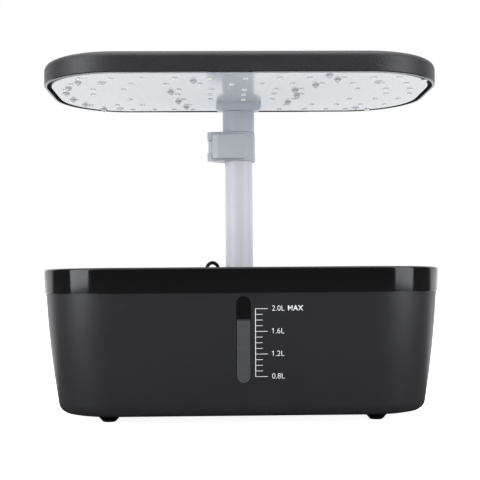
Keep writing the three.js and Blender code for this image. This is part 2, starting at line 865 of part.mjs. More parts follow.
function makeInlet() {
  const front = rimHalfY - inletRecess;
  const bodyBack = skirtInnerY - seatGap;
  const barrel = alongY(inletRadius, bodyBack - joinDepth, front, inletX, inletZ);
  const body = box(
    inletX - inletBodyWidth / 2, inletX + inletBodyWidth / 2, bodyBack - inletBodyLength, bodyBack,
    inletZ - inletBodyHeight / 2, inletZ + inletBodyHeight / 2,
  );
  const boreEnd = front - inletBoreDepth;
  const bore = alongY(inletBoreRadius, boreEnd, front + cutOverrun, inletX, inletZ);
  const pin = alongY(inletPinRadius, boreEnd - joinDepth, front - inletBoreRadius, inletX, inletZ);
  place('power_inlet', barrel.add(body).subtract(bore).add(pin), rubber());
}

// Cover of the control box, with the two arms that hold the pump
function makeCover() {
  const half = islandWidth / 2;
  const bottom = coverTop - coverThickness;
  const outline = roundedRect(-half, half, islandFront, skirtInnerY - seatGap, islandCorner);
  let cover = extrudeUp(outline, bottom, coverTop);
  const armInner = pumpWidth / 2 + seatGap;
  const armOuter = armInner + armThickness;
  const armBack = armFront + armWidth;
  const hookTop = pumpBottom - seatGap;
  const hookBottom = hookTop - armThickness;
  const arm = box(armInner, armOuter, armFront, armBack, hookBottom, bottom + joinDepth);
  const hook = box(armInner - armHook, armInner + joinDepth, armFront, armBack, hookBottom, hookTop);
  for (const side of [-1, 1]) {
    cover = cover.add(mirrored(arm.add(hook), side, 1, 1));
  }
  cover = cover.subtract(drill(chimneyRadius + seatGap, bottom, coverTop, loopOuterX, loopOuterY));
  for (const [x, y] of postPlaces) {
    cover = cover.subtract(drill(screwShankRadius + seatGap, bottom, coverTop, x, y));
  }
  place('control_box_cover', cover, satinBlack());
  const headTop = bottom - seatGap;
  postPlaces.forEach(([x, y], index) => {
    place(`cover_screw_${index + 1}`, screwSolid(headTop, 1), steel(), garden, x, y);
  });
}

// A pan-head screw with its head's seat at a height, pointing up (1) or down (-1)
function screwSolid(seat, direction) {
  const screw = revolve([
    [0, -screwHeadHeight], [screwHeadRadius, -screwHeadHeight], [screwHeadRadius, 0],
    [screwShankRadius, 0], [screwShankRadius, screwLength], [0, screwLength],
  ], smallSteps);
  return shifted(mirrored(screw, 1, 1, direction), 0, 0, seat);
}

// Pump
function makePump() {
  const half = pumpWidth / 2;
  const back = pumpFront + pumpLength;
  const middleZ = (pumpBottom + pumpTop) / 2;
  const coverBack = pumpFront + pumpCoverThickness;
  const bodyFront = coverBack + seatGap;
  const face = roundedRect(-half, half, pumpBottom, pumpTop, pumpCorner);
  const chamberBack = bodyFront + chamberDepth;
  let body = extrudeBack(face, bodyFront, back, 2);
  body = body.subtract(alongY(chamberRadius, bodyFront - cutOverrun, chamberBack, 0, middleZ, podSteps));
  const spoutY = bodyFront + spoutRadius;
  const spoutZ = middleZ + chamberRadius - spoutRadius;
  const spoutEnd = half + armThickness + spoutLength;
  body = body.add(alongX(spoutRadius, chamberRadius, spoutEnd, spoutY, spoutZ));
  body = body.subtract(alongX(spoutBore, 0, spoutEnd + cutOverrun, spoutY, spoutZ));
  body = body.subtract(alongY(chamberRadius, bodyFront - cutOverrun, chamberBack, 0, middleZ, podSteps));
  const shaftFront = chamberBack - impellerLength;
  body = body.add(alongY(shaftRadius, shaftFront, chamberBack + joinDepth, 0, middleZ));
  place('pump_body', body, satinBlack());

  let cover = extrudeBack(face, pumpFront, coverBack, 2);
  for (let slot = 0; slot < grilleSlots; slot += 1) {
    const x = grillePitch * (slot - (grilleSlots - 1) / 2);
    cover = cover.subtract(box(
      x - grilleSlotWidth / 2, x + grilleSlotWidth / 2, pumpFront - cutOverrun, coverBack + cutOverrun,
      middleZ - grilleSlotHeight / 2, middleZ + grilleSlotHeight / 2,
    ));
  }
  place('pump_cover', cover, satinBlack());

  const impellerBack = chamberBack - seatGap;
  const impellerFront = impellerBack - impellerLength;
  let impeller = alongY(impellerHub, impellerFront, impellerBack, 0, 0);
  for (let blade = 0; blade < bladeCount; blade += 1) {
    const vane = box(
      impellerHub - joinDepth * 2, impellerReach, impellerFront, impellerBack,
      -bladeThickness / 2, bladeThickness / 2,
    );
    impeller = impeller.add(turnedY(vane, (Math.PI * 2 * blade) / bladeCount));
  }
  const bore = alongY(shaftRadius + runningGap, impellerFront - cutOverrun, impellerBack + cutOverrun, 0, 0);
  place('pump_impeller', shifted(impeller.subtract(bore), 0, 0, middleZ), greyPlastic());
}

// Half circle that the pump's lead makes above the deck
function loopArch() {
  const spanX = loopInnerX - loopOuterX;
  const spanY = loopInnerY - loopOuterY;
  const radius = Math.hypot(spanX, spanY) / 2;
  const points = [];
  for (let step = 0; step <= loopSteps; step += 1) {
    const angle = (Math.PI * step) / loopSteps;
    const across = (1 - Math.cos(angle)) / 2;
    const height = loopTop - radius + radius * Math.sin(angle);
    points.push([loopOuterX + spanX * across, loopOuterY + spanY * across, islandTop + height]);
  }
  return points;
}

// The pump's lead: up from the pump, through the deck, over in a loop and down to the board
function makePumpLead() {
  const plugBack = islandFront + islandWall + seatGap + controlBoardDepth;
  const plugZ = controlBoardTop + plugHeight / 2;
  const pumpBack = pumpFront + pumpLength;
  const exitZ = pumpBottom + leadExitHeight;
  const rise = leadRouteShares.map(([across, behind, up]) => [
    leadExitX + (loopOuterX - leadExitX) * across,
    pumpBack + leadSwing * behind,
    exitZ + (boxBottom - exitZ) * up,
  ]);
  const points = [
    [leadExitX, pumpBack + seatGap, exitZ],
    ...rise,
    [loopOuterX, loopOuterY, boxBottom],
    [loopOuterX, loopOuterY, (boxBottom + islandTop) / 2],
    [loopOuterX, loopOuterY, islandTop],
    ...loopArch(),
    [loopInnerX, loopInnerY, islandTop],
    [loopInnerX, loopInnerY, skinBottom - leadRadius],
    [loopInnerX, loopInnerY - leadRadius * 2, plugZ + leadRadius],
    [loopInnerX, plugBack + leadRadius * 4, plugZ],
    [loopInnerX, plugBack + seatGap, plugZ],
  ];
  place('pump_lead', cord(points, leadRadius, leadSteps, smallSteps), rubber());
  const margin = leadRadius + grommetMargin;
  const plate = belt(loopOuterX, loopOuterY, margin, loopInnerX, loopInnerY, margin);
  const grommetBottom = islandTop + seatGap;
  let grommet = extrudeUp(plate, grommetBottom, grommetBottom + grommetThickness);
  for (const [x, y] of [[loopOuterX, loopOuterY], [loopInnerX, loopInnerY]]) {
    grommet = grommet.subtract(drill(leadRadius + leadHoleGap, islandTop, islandTop, x, y));
  }
  place('lead_grommet', grommet, rubber());
}

// Pole and clamp, on their own axis
const pole = new THREE.Group();
pole.position.set(0, poleY, 0);
garden.add(pole);

function ring(outer, inner, z0, z1) {
  return upright(outer, z0, z1).subtract(drill(inner, z0, z1, 0, 0, roundSteps));
}

function makeTubes() {
  const outerBore = outerTubeRadius - outerTubeWall;
  place('outer_tube', ring(outerTubeRadius, outerBore, outerTubeBottom, outerTubeTop), silver(), pole);
  const innerBore = innerTubeRadius - innerTubeWall;
  place('inner_tube', ring(innerTubeRadius, innerBore, innerTubeBottom, innerTubeTop), silver(), pole);
  const bushTop = innerTubeBottom + bushHeight;
  const bush = ring(outerBore - runningGap, innerTubeRadius + seatGap, innerTubeBottom, bushTop);
  place('guide_bush', bush, greyPlastic(), pole);
}

// A bar from the pin towards the pole's axis, which the clamping pad slides along
function padBar(width, height, from, to, z0) {
  const reach = Math.hypot(pinX, pinY);
  const bar = box(reach - to, reach - from, -width / 2, width / 2, z0, z0 + height);
  return turnedZ(bar, Math.atan2(pinY, pinX));
}

function makeClamp() {
  const ear = belt(0, 0, collarRadius - joinDepth, pinX, pinY, earRadius);
  const lowerEarTop = collarBottom + lowerEarHeight;
  const upperEarBottom = collarTop - upperEarHeight;
  let collar = upright(collarRadius, collarBottom, collarTop);
  collar = collar.add(extrudeUp(ear, collarBottom, lowerEarTop, smallSteps));
  collar = collar.add(extrudeUp(ear, upperEarBottom, collarTop, smallSteps));
  const shelf = outerTubeTop + seatGap;
  const innerBore = innerTubeRadius + seatGap;
  collar = collar.subtract(upright(outerTubeRadius + seatGap, collarBottom - cutOverrun, shelf));
  collar = collar.subtract(drill(innerBore, shelf, collarTop, 0, 0, roundSteps));
  collar = collar.subtract(drill(pinRadius + runningGap, collarBottom, collarTop, pinX, pinY));
  const half = collarSlit / 2;
  const slitBottom = shelf + cutOverrun;
  const slitTop = collarTop + cutOverrun;
  collar = collar.subtract(box(-half, half, 0, collarRadius + cutOverrun, slitBottom, slitTop));
  const padBottom = shelf + padLift;
  const padTop = padBottom + padHeight;
  const pinReach = Math.hypot(pinX, pinY);
  const channel = padBar(
    padWidth + seatGap * 2, padHeight + seatGap * 2, knuckleRadius, pinReach, padBottom - seatGap,
  );
  place('clamp_collar', collar.subtract(channel), greyPlastic(), pole);

  const pad = padBar(padWidth, padHeight, knuckleRadius, pinReach - innerTubeRadius + cutOverrun, padBottom)
    .subtract(drill(innerBore, padBottom, padTop, 0, 0, roundSteps))
    .subtract(drill(knuckleRadius + seatGap, padBottom, padTop, pinX, pinY, roundSteps));
  place('clamp_pad', pad, rubber(), pole);
  place('lever_pin', upright(pinRadius, collarBottom, collarTop, pinX, pinY, smallSteps), steel(), pole);
}

// Outline of a strip of even thickness along a line of points, seen from above
function stripOutline(points, thickness) {
  const sides = [[], []];
  points.forEach(([x, y], k) => {
    const [xa, ya] = points[Math.max(k - 1, 0)];
    const [xb, yb] = points[Math.min(k + 1, points.length - 1)];
    const run = Math.hypot(xb - xa, yb - ya);
    const offsetX = (((ya - yb) / run) * thickness) / 2;
    const offsetY = (((xb - xa) / run) * thickness) / 2;
    sides[0].push(new THREE.Vector2(x + offsetX, y + offsetY));
    sides[1].unshift(new THREE.Vector2(x - offsetX, y - offsetY));
  });
  return new THREE.Shape([...sides[0], ...sides[1]]);
}

// Clamp lever: a knuckle about the pin, a neck between the ears and a blade in front of the collar
function makeLever() {
  const slope = (leverFront - leverLeftFront) / (leverBend - leverLeft);
  const line = [
    [leverLeft - leverThickness, -leverLeftFront + leverThickness * slope],
    [leverBend, -leverFront],
    [leverFlatEnd, -leverFront],
    [(leverFlatEnd + leverEnd) / 2, -leverFront + leverStep],
    [leverEnd + leverThickness, -leverFront - leverCurl],
  ];
  const bottom = collarBottom + leverLift;
  const top = bottom + leverHeight;
  const knuckleBottom = collarBottom + lowerEarHeight + seatGap;
  const knuckleTop = collarTop - upperEarHeight - seatGap;
  const front = -leverFront - leverThickness - cutOverrun;
  const face = extrudeBack(roundedRect(leverLeft, leverEnd, bottom, top, leverCorner), front, 0, filletSteps);
  const leftFace = roundedRect(leverLeft, leverFlatEnd, bottom, top, leverLeftCorner);
  const blade = extrudeUp(stripOutline(line, leverThickness), bottom, top)
    .intersect(face.add(extrudeBack(leftFace, front, 0, filletSteps)));
  const neckOutline = new THREE.Shape([
    new THREE.Vector2(leverLeft, pinY),
    new THREE.Vector2(leverLeft, -leverLeftFront),
    new THREE.Vector2(leverBend, -leverFront),
    new THREE.Vector2(pinX + knuckleRadius, pinY),
  ]);
  const neck = extrudeUp(neckOutline, knuckleBottom, knuckleTop);
  const knuckle = upright(knuckleRadius, knuckleBottom, knuckleTop, pinX, pinY);
  const bore = upright(pinRadius + runningGap, bottom, top, pinX, pinY, smallSteps);
  place('clamp_lever', blade.add(neck).add(knuckle).subtract(bore), leverGrey(), pole);
}

// Lamp bracket: a sleeve under a block whose underside slopes up towards the back
function makeBracket() {
  const halfDepth = (bracketFrontReach + bracketBackReach) / 2;
  const middleY = (bracketBackReach - bracketFrontReach) / 2;
  const slope = Math.tan(THREE.MathUtils.degToRad(bracketSlopeDegrees));
  const underside = (y) => bracketTop - bracketFrontHeight + (y + halfDepth) * slope;
  const loopAt = (inset, z) => cornerLoop(bracketWidth / 2, halfDepth, bracketCorner, inset, z, filletSteps);
  const block = loft([
    loopAt(bracketBevel, underside),
    loopAt(0, (y) => underside(y) + bracketBevel),
    loopAt(0, bracketTop),
  ]);
  let bracket = shifted(block, 0, middleY, 0).add(upright(sleeveRadius, sleeveBottom, bracketTop));
  bracket = bracket.subtract(upright(innerTubeRadius + seatGap, sleeveBottom - cutOverrun, bracketBoreTop));
  bracket = bracket.subtract(drill(leadRadius + leadHoleGap * 2, bracketBoreTop, bracketTop));
  const screwBottom = bracketTop - bracketFrontHeight / 2;
  for (const side of [-1, 1]) {
    const x = side * bracketScrewX;
    const above = bracketTop + cutOverrun;
    const hole = upright(screwShankRadius + seatGap, screwBottom, above, x, -sleeveRadius, smallSteps);
    bracket = bracket.subtract(hole);
  }
  place('lamp_bracket', bracket, greyPlastic(), pole);
}

// Lamp
const lampHalfX = lampLength / 2;
const lampHalfY = lampDepth / 2;
const boardInset = lampRim + lampGroove + seatGap;

function lampLoop(inset, z) {
  return cornerLoop(lampHalfX, lampHalfY, lampCornerRadius, inset, z);
}

const boardScrewPlaces = [
  [-1, boardScrewFrontEndMargin, boardScrewFrontMargin - lampHalfY],
  [1, boardScrewFrontEndMargin, boardScrewFrontMargin - lampHalfY],
  [-1, boardScrewBackEndMargin, lampHalfY - boardScrewBackMargin],
  [1, boardScrewBackEndMargin, lampHalfY - boardScrewBackMargin],
].map(([side, endMargin, y]) => [side * (lampHalfX - endMargin), y]);

function makeLampHousing() {
  const ledge = boardTop + seatGap;
  const profile = [
    ...quarterRound(lampTopRound, lampTop - lampTopRound, lampTopRound, 1, 0),
    [0, lampBottom + lampRimBevel],
    [lampRimBevel, lampBottom],
    [lampRim, lampBottom],
    [lampRim, ledge],
    [boardInset + lampLedge, ledge],
    [boardInset + lampLedge, lampTop - lampRoof],
  ];
  let housing = loft(profile.map(([inset, z]) => lampLoop(inset, z)));
  const holeTop = boardBottom + screwLength + seatGap;
  for (const [x, y] of boardScrewPlaces) {
    const boss = upright(screwBossRadius, ledge, lampTop - lampRoof + joinDepth, x, y, smallSteps);
    const hole = upright(screwShankRadius + seatGap, ledge - cutOverrun, holeTop, x, y, smallSteps);
    housing = housing.add(boss).subtract(hole);
  }
  place('lamp_housing', housing, satinBlack());
}

// Half the length of the light board at a distance from its middle line
function boardReach(y) {
  const reach = lampCornerRadius - boardInset;
  const into = Math.max(0, Math.abs(y) - lampHalfY + lampCornerRadius);
  return lampHalfX - lampCornerRadius + Math.sqrt(reach * reach - into * into);
}

function chipPlaces() {
  const places = [];
  chipRowShares.forEach((share, row) => {
    const y = share * lampHalfY;
    const rowReach = boardReach(y) - chipRowMargins[row];
    const count = chipRowCounts[row];
    for (let index = 0; index < count; index += 1) {
      const x = rowReach * ((2 * index) / (count - 1) - 1);
      const underBracket = Math.abs(x) < bracketWidth / 2 + chipClear
        && y > poleY - bracketFrontReach - chipWidth;
      const atScrew = boardScrewPlaces.some(([sx, sy]) => Math.hypot(sx - x, sy - y) < chipClear);
      if (!underBracket && !atScrew) places.push([x, y]);
    }
  });
  return places;
}

function makeLightBoard() {
  let board = loft([lampLoop(boardInset, boardBottom), lampLoop(boardInset, boardTop)]);
  for (const [x, y] of chipPlaces()) {
    board = board.add(box(
      x - chipLength / 2, x + chipLength / 2, y - chipWidth / 2, y + chipWidth / 2,
      boardBottom - chipHeight, boardBottom + joinDepth,
    ));
  }
  const holes = [
    ...boardScrewPlaces,
    [-bracketScrewX, poleY - sleeveRadius], [bracketScrewX, poleY - sleeveRadius],
  ];
  for (const [x, y] of holes) {
    board = board.subtract(drill(screwShankRadius + seatGap, boardBottom, boardTop, x, y));
  }
  const terminal = terminalSize / 2;
  board = board.add(box(
    -terminal, terminal, poleY - terminal, poleY + terminal, boardTop - joinDepth, boardTop + terminalHeight,
  ));
  const leadTop = boardTop + leadRadius + seatGap;
  const leadHole = upright(leadRadius + leadHoleGap, boardBottom - cutOverrun, leadTop, 0, poleY, smallSteps);
  place('light_board', board.subtract(leadHole), boardWhite());
  boardScrewPlaces.forEach(([x, y], index) => {
    place(`board_screw_${index + 1}`, screwSolid(boardBottom - seatGap, 1), steel(), garden, x, y);
  });
  [-1, 1].forEach((side, index) => {
    const screw = screwSolid(boardTop + seatGap, -1).intersect(
      upright(screwHeadRadius * 2, bracketTop - bracketFrontHeight / 2 + seatGap, lampTop),
    );
    place(`bracket_screw_${index + 1}`, screw, steel(), garden, side * bracketScrewX, poleY - sleeveRadius);
  });
}

// The lamp's lead: from the control board into the pole's socket, then coiled inside the inner
// tube so that it follows the lamp up
function makeLampLead() {
  const drop = -(socketRadius + leadRadius * 3);
  const exitZ = socketFloorTop + leadRadius * 2;
  const rootTop = outerTubeBottom + leadRadius;
  const root = [
    [0, drop, controlBoardBottom - seatGap],
    [0, drop, exitZ + leadRadius * 2],
    [0, drop + leadRadius * 1.5, exitZ],
    [0, -socketRadius, exitZ],
    [0, -socketLowerRadius, exitZ],
    [0, -leadRadius * 3, exitZ],
    [0, -leadRadius, exitZ + leadRadius],
    [0, 0, rootTop - leadRadius],
    [0, 0, rootTop],
  ];
  place('lamp_lead_root', cord(root, leadRadius, podSteps, smallSteps), rubber(), pole);

  const coilBottom = innerTubeBottom + coilMargin;
  const coilTop = innerTubeTop - coilMargin;
  const coil = [[0, 0, rootTop + seatGap], [0, 0, innerTubeBottom]];
  const ends = coilTurns * coilSteps;
  for (let step = 0; step <= ends; step += 1) {
    const turn = (Math.PI * 2 * step) / coilSteps;
    const swell = coilRadius * Math.min(1, step / coilSteps, (ends - step) / coilSteps);
    const z = coilBottom + ((coilTop - coilBottom) * step) / ends;
    coil.push([swell * Math.cos(turn), swell * Math.sin(turn), z]);
  }
  coil.push([0, 0, bracketBoreTop], [0, 0, boardTop + leadRadius]);
  place('lamp_lead_coil', cord(coil, leadRadius, ends + smallSteps, coilSides), rubber(), pole);
}

makeTank();
makeWindow();
makeFeet();
makeDeck();
makeLid();
makeBaskets();
makeControls();
makeControlBoard();
makeInlet();
makeCover();
makePump();
makePumpLead();
makeTubes();
makeClamp();
makeLever();
makeBracket();
makeLampHousing();
makeLightBoard();
makeLampLead();

export default garden;
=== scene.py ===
# Studio scene of a countertop hydroponic garden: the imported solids, finished and dressed piece by piece.
import json
from functools import partial
from math import cos, hypot, pi, radians, sin

import bpy
from bpy.props import FloatProperty, FloatVectorProperty, PointerProperty
from mathutils import Matrix, Vector


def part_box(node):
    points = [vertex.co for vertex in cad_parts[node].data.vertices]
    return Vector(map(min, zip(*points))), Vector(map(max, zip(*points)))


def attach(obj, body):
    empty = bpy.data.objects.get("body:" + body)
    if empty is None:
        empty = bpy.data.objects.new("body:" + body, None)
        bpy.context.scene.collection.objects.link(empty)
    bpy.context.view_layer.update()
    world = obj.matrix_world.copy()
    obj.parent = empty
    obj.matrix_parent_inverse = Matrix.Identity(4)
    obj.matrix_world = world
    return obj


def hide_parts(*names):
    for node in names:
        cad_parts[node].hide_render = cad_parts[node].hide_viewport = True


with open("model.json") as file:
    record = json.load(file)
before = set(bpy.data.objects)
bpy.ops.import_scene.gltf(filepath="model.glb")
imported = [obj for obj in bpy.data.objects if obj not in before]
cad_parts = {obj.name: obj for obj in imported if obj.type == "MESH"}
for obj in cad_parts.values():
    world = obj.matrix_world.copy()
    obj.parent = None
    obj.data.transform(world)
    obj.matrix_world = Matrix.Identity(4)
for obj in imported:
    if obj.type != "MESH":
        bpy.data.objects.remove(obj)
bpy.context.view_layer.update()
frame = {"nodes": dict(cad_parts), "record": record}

bl_info = {
    "name": "Hydroponic Garden Scene",
    "version": (1, 0, 0),
    "blender": (4, 5, 0),
    "location": "View3D > Sidebar > Garden",
    "description": "Finishes a countertop hydroponic garden and sets up its studio",
    "category": "Object",
}

MM = 0.001
BODY_OF = {node: body for body, nodes in frame["record"]["behaviour"]["bodies"].items() for node in nodes}


# Sizes and colours a user would change

Length = partial(FloatProperty, unit="LENGTH")
Power = partial(FloatProperty, unit="POWER", min=0, max=100)
Colour = partial(FloatVectorProperty, subtype="COLOR", min=0, max=1)


class GardenFinishSettings(bpy.types.PropertyGroup):
    tank_black: Colour(
        name="Tank black", description="Colour of the textured tank",
        default=(0.0128, 0.0130, 0.0150))
    lamp_black: Colour(
        name="Lamp black", description="Colour of the textured lamp housing",
        default=(0.0132, 0.0130, 0.0168))
    deck_black: Colour(
        name="Deck black", description="Colour of the polished planting deck",
        default=(0.0024, 0.0024, 0.0028))
    bracket_grey: Colour(
        name="Bracket grey", description="Colour of the clamp collar, sleeve and bracket",
        default=(0.446, 0.481, 0.525))
    lever_grey: Colour(
        name="Lever grey", description="Colour of the clamp lever",
        default=(0.480, 0.512, 0.529))
    pole_silver: Colour(
        name="Pole silver", description="Colour of the telescopic tubes",
        default=(0.66, 0.68, 0.705))
    board_white: Colour(
        name="Board white", description="Colour of the light board's lacquer",
        default=(0.555, 0.606, 0.640))
    phosphor: Colour(
        name="Chip yellow", description="Colour of the light chips' windows",
        default=(1.0, 0.95, 0.68))
    dome_white: Colour(
        name="Dome white", description="Colour of the milky domes over some of the chips",
        default=(0.80, 0.82, 0.84))
    mark_white: Colour(
        name="Mark white", description="Colour of the printed scale",
        default=(0.86, 0.86, 0.86))
    grain_size: Length(
        name="Grain size", description="Size of the moulded grain on the black plastic",
        min=0.0001, max=0.005, default=0.0009)
    grain_depth: Length(
        name="Grain depth", description="Depth of the moulded grain on the black plastic",
        min=0.0, max=0.001, default=0.00006)


class GardenScaleSettings(bpy.types.PropertyGroup):
    line_x: Length(
        name="Line place", description="Distance of the upright line right of the middle",
        default=0.0076)
    top: Length(name="Top mark", description="Height of the highest mark above the table", default=0.07465)
    pitch: Length(name="Mark pitch", description="Distance from one mark to the next", default=0.003625)
    line_width: Length(name="Line width", description="Width of the upright line", default=0.00036)
    mark_width: Length(name="Mark width", description="Width of the marks", default=0.00027)
    short_mark: Length(name="Short mark", description="Length of the short marks", default=0.0046)
    long_mark: Length(name="Long mark", description="Length of the marks with a number", default=0.0078)
    label_x: Length(
        name="Number place", description="Where the numbers begin, right of the middle",
        default=0.0182)
    label_lift: Length(
        name="Number lift", description="How far the numbers' middles stand above their marks",
        default=0.00035)
    label_height: Length(name="Number height", description="Height of the printed numbers", default=0.0034)


class GardenLightSettings(bpy.types.PropertyGroup):
    chip_length: Length(
        name="Chip length", description="Length of a light chip along the board",
        default=0.0035)
    chip_width: Length(name="Chip width", description="Width of a light chip", default=0.0028)
    chip_height: Length(
        name="Chip height", description="How far a light chip stands off the board",
        default=0.0008)
    dome_radius: Length(
        name="Dome radius", description="Radius of the domes over some of the chips",
        default=0.0022)


class GardenStageSettings(bpy.types.PropertyGroup):
    camera_place: FloatVectorProperty(
        name="Camera place", description="Where the camera stands",
        subtype="XYZ", unit="LENGTH", default=(-0.01441, -0.68051, 0.08727))
    camera_turn: FloatVectorProperty(
        name="Camera turn", description="Turn to the side, upward tilt and roll of the camera",
        subtype="XYZ", unit="ROTATION", default=(radians(-1.173), radians(2.934), radians(0.442)))
    lens: FloatProperty(
        name="Lens", description="Focal length on a sensor 36 mm wide, in millimetres",
        min=10, max=300, default=71.748)
    world_light: FloatProperty(
        name="Room light", description="Strength of the even light of the room",
        min=0, max=5, default=1.0)
    front_gloss: FloatProperty(
        name="Front gloss", description="Brightness of the room in front as seen in polished faces",
        min=0, max=2, default=0.06)
    sky_gloss: FloatProperty(
        name="Sky gloss", description="Brightness of the ceiling as seen in polished faces",
        min=0, max=5, default=1.35)
    top_light: Power(name="Top light", description="Power of the soft light overhead", default=5.0)
    side_tint: Colour(
        name="Side tint", description="Colour of the tall soft lights at the sides",
        default=(0.92, 0.935, 1.0))
    left_light: Power(name="Left light", description="Power of the tall soft light at the left", default=8.1)
    right_light: Power(
        name="Right light", description="Power of the tall soft light at the right",
        default=6.7)


# Making and finishing meshes

WELD = 1e-6
SOLID_WELD = 2e-6
FLAT_WITHIN = radians(0.6)
FACES_DOWN = -0.99
UPRIGHT = (pi / 2, 0, 0)
ELEMENTS = {"VERT": "vertices", "EDGE": "edges", "FACE": "polygons"}


def pick(*pieces):
    """Selects these pieces alone, with the first one active."""
    if bpy.context.object and bpy.context.object.mode != "OBJECT":
        leave_edit()
    bpy.ops.object.select_all(action="DESELECT")
    for piece in pieces:
        piece.select_set(True)
    if pieces:
        bpy.context.view_layer.objects.active = pieces[0]


def edit(piece, kind="FACE", action="SELECT"):
    """Opens the piece in edit mode with everything selected, or nothing with DESELECT."""
    pick(piece)
    bpy.ops.object.mode_set(mode="EDIT")
    bpy.ops.mesh.select_mode(type=kind)
    bpy.ops.mesh.select_all(action=action)


def leave_edit():
    bpy.ops.object.mode_set(mode="OBJECT")


def edit_some(piece, kind, wanted):
    """Opens the piece in edit mode with its wanted corners, edges or faces selected."""
    edit(piece, kind, "DESELECT")
    leave_edit()
    for element in getattr(piece.data, ELEMENTS[kind]):
        element.select = wanted(element)
    bpy.ops.object.mode_set(mode="EDIT")


def edit_edges(piece, wanted):
    """Opens the piece in edit mode with the edges selected whose two ends are wanted."""
    corners = piece.data.vertices
    edit_some(piece, "EDGE", lambda edge: wanted(*(corners[end].co for end in edge.vertices)))


def extrude(x, y, z):
    bpy.ops.mesh.extrude_region_move(TRANSFORM_OT_translate={"value": (x, y, z)})


def round_edges(piece, wanted, width, segments):
    """Rounds the edges whose two ends are wanted."""
    edit_edges(piece, wanted)
    bpy.ops.mesh.bevel(offset=width, segments=segments)
    leave_edit()


def divide(across):
    """Divides the selected faces of the piece that is open, at a distance right of the middle."""
    bpy.ops.mesh.bisect(plane_co=(across * MM, 0, 0), plane_no=(1, 0, 0))
    leave_edit()


def add_object(name, data):
    thing = bpy.data.objects.new(name, data)
    bpy.context.scene.collection.objects.link(thing)
    return thing


def new_piece(name):
    """Names the piece that an operator has just made."""
    piece = bpy.context.object
    piece.name = name
    piece.data.name = name
    return piece


def settle(piece):
    """Puts the piece's place, turn and size into its mesh."""
    pick(piece)
    bpy.ops.object.transform_apply(location=True, rotation=True, scale=True)


def outward(piece):
    """Merges doubled corners and turns all the faces outward."""
    edit(piece)
    bpy.ops.mesh.remove_doubles(threshold=WELD)
    bpy.ops.mesh.normals_make_consistent(inside=False)
    leave_edit()


def modify(piece, kind, **settings):
    """Adds one modifier and applies it."""
    pick(piece)
    bpy.ops.object.modifier_add(type=kind)
    modifier = piece.modifiers[-1]
    for name, value in settings.items():
        setattr(modifier, name, value)
    bpy.ops.object.modifier_apply(modifier=modifier.name)


def ease(piece, width, segments=2, angle=35):
    """Rounds the sharp edges."""
    modify(piece, "BEVEL", width=width, segments=segments, limit_method="ANGLE",
           angle_limit=radians(angle), use_clamp_overlap=True)


def smooth(piece, angle=35):
    pick(piece)
    bpy.ops.object.shade_smooth_by_angle(angle=radians(angle))
    modify(piece, "WEIGHTED_NORMAL", keep_sharp=True, weight=60)


def cut(piece, cutter, way="DIFFERENCE"):
    modify(piece, "BOOLEAN", operation=way, object=cutter, solver="EXACT")
    bpy.data.objects.remove(cutter)


def like(piece, name, offset):
    """A copy of a piece with its own mesh, moved by an offset."""
    twin = piece.copy()
    twin.data = piece.data.copy()
    twin.name = name
    twin.data.name = name
    bpy.context.scene.collection.objects.link(twin)
    twin.data.transform(Matrix.Translation(offset))
    return twin


def joined(pieces, name):
    pick(*pieces)
    bpy.ops.object.join()
    return new_piece(name)


def dress(piece, finish, slot, body, *nodes):
    """Gives a piece its finish, its body and the nodes that it stands for."""
    if finish:
        piece.data.materials.clear()
        piece.data.materials.append(finish_named(finish))
    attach(piece, body)
    if nodes:
        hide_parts(*nodes)
    return piece


def finished_copy(node, finish, slot=None, angle=35, edge=0.0):
    """A merged copy of a node that stands for it; its slot is not used."""
    piece = add_object(node + "_finished", frame["nodes"][node].data.copy())
    piece.data.name = piece.name
    edit(piece)
    bpy.ops.mesh.customdata_custom_splitnormals_clear()
    bpy.ops.mesh.remove_doubles(threshold=SOLID_WELD)
    bpy.ops.mesh.dissolve_limited(angle_limit=FLAT_WITHIN)
    leave_edit()
    if edge:
        ease(piece, edge)
    smooth(piece, angle)
    return dress(piece, finish, slot or finish, BODY_OF[node], node)


def set_copies(piece, nodes, finish, slot, rise=None, ending="_turned"):
    """Sets a copy of the piece at each of the nodes, to stand for it.

    With a rise, the piece's height 0 comes that far above a node's lowest point.
    """
    for node in nodes:
        low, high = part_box(node)
        middle = (low + high) / 2
        height = 0 if rise is None else low.z + rise
        twin = like(piece, node + ending, (middle.x, middle.y, height))
        dress(twin, finish, slot, BODY_OF[node], node)


def middle_of(node):
    """The middle of a node's box, in millimetres."""
    low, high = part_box(node)
    return (low + high) / 2 / MM


def extent(node):
    """A node's lowest and highest point and half its width, in millimetres."""
    low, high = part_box(node)
    return low.z / MM, high.z / MM, (high.x - low.x) / 2 / MM


def turned(name, profile, place=(0, 0, 0), steps=48, closed=False, lay=(0, 0, 0)):
    """A turned piece: a ring drawn along a profile of radii and heights in millimetres."""
    radius, height = profile[0]
    pick()
    bpy.ops.mesh.primitive_circle_add(
        vertices=steps, radius=radius * MM, location=(0, 0, height * MM),
        fill_type="NOTHING" if closed else "NGON")
    piece = new_piece(name)
    settle(piece)
    edit(piece, "EDGE")
    for radius_next, height_next in profile[1:]:
        extrude(0, 0, (height_next - height) * MM)
        if radius_next != radius:
            share = radius_next / radius
            bpy.ops.transform.resize(value=(share, share, 1), center_override=(0, 0, height_next * MM))
        radius, height = radius_next, height_next
    leave_edit()
    outward(piece)
    piece.rotation_euler = lay
    piece.location = Vector(place) * MM
    settle(piece)
    return piece


def rod(name, radius, bottom, top, place):
    """A plain round rod, to add or to cut away, upright at a place in millimetres."""
    return turned(name, ((radius, bottom), (radius, top)), (place.x, place.y, 0), 32)


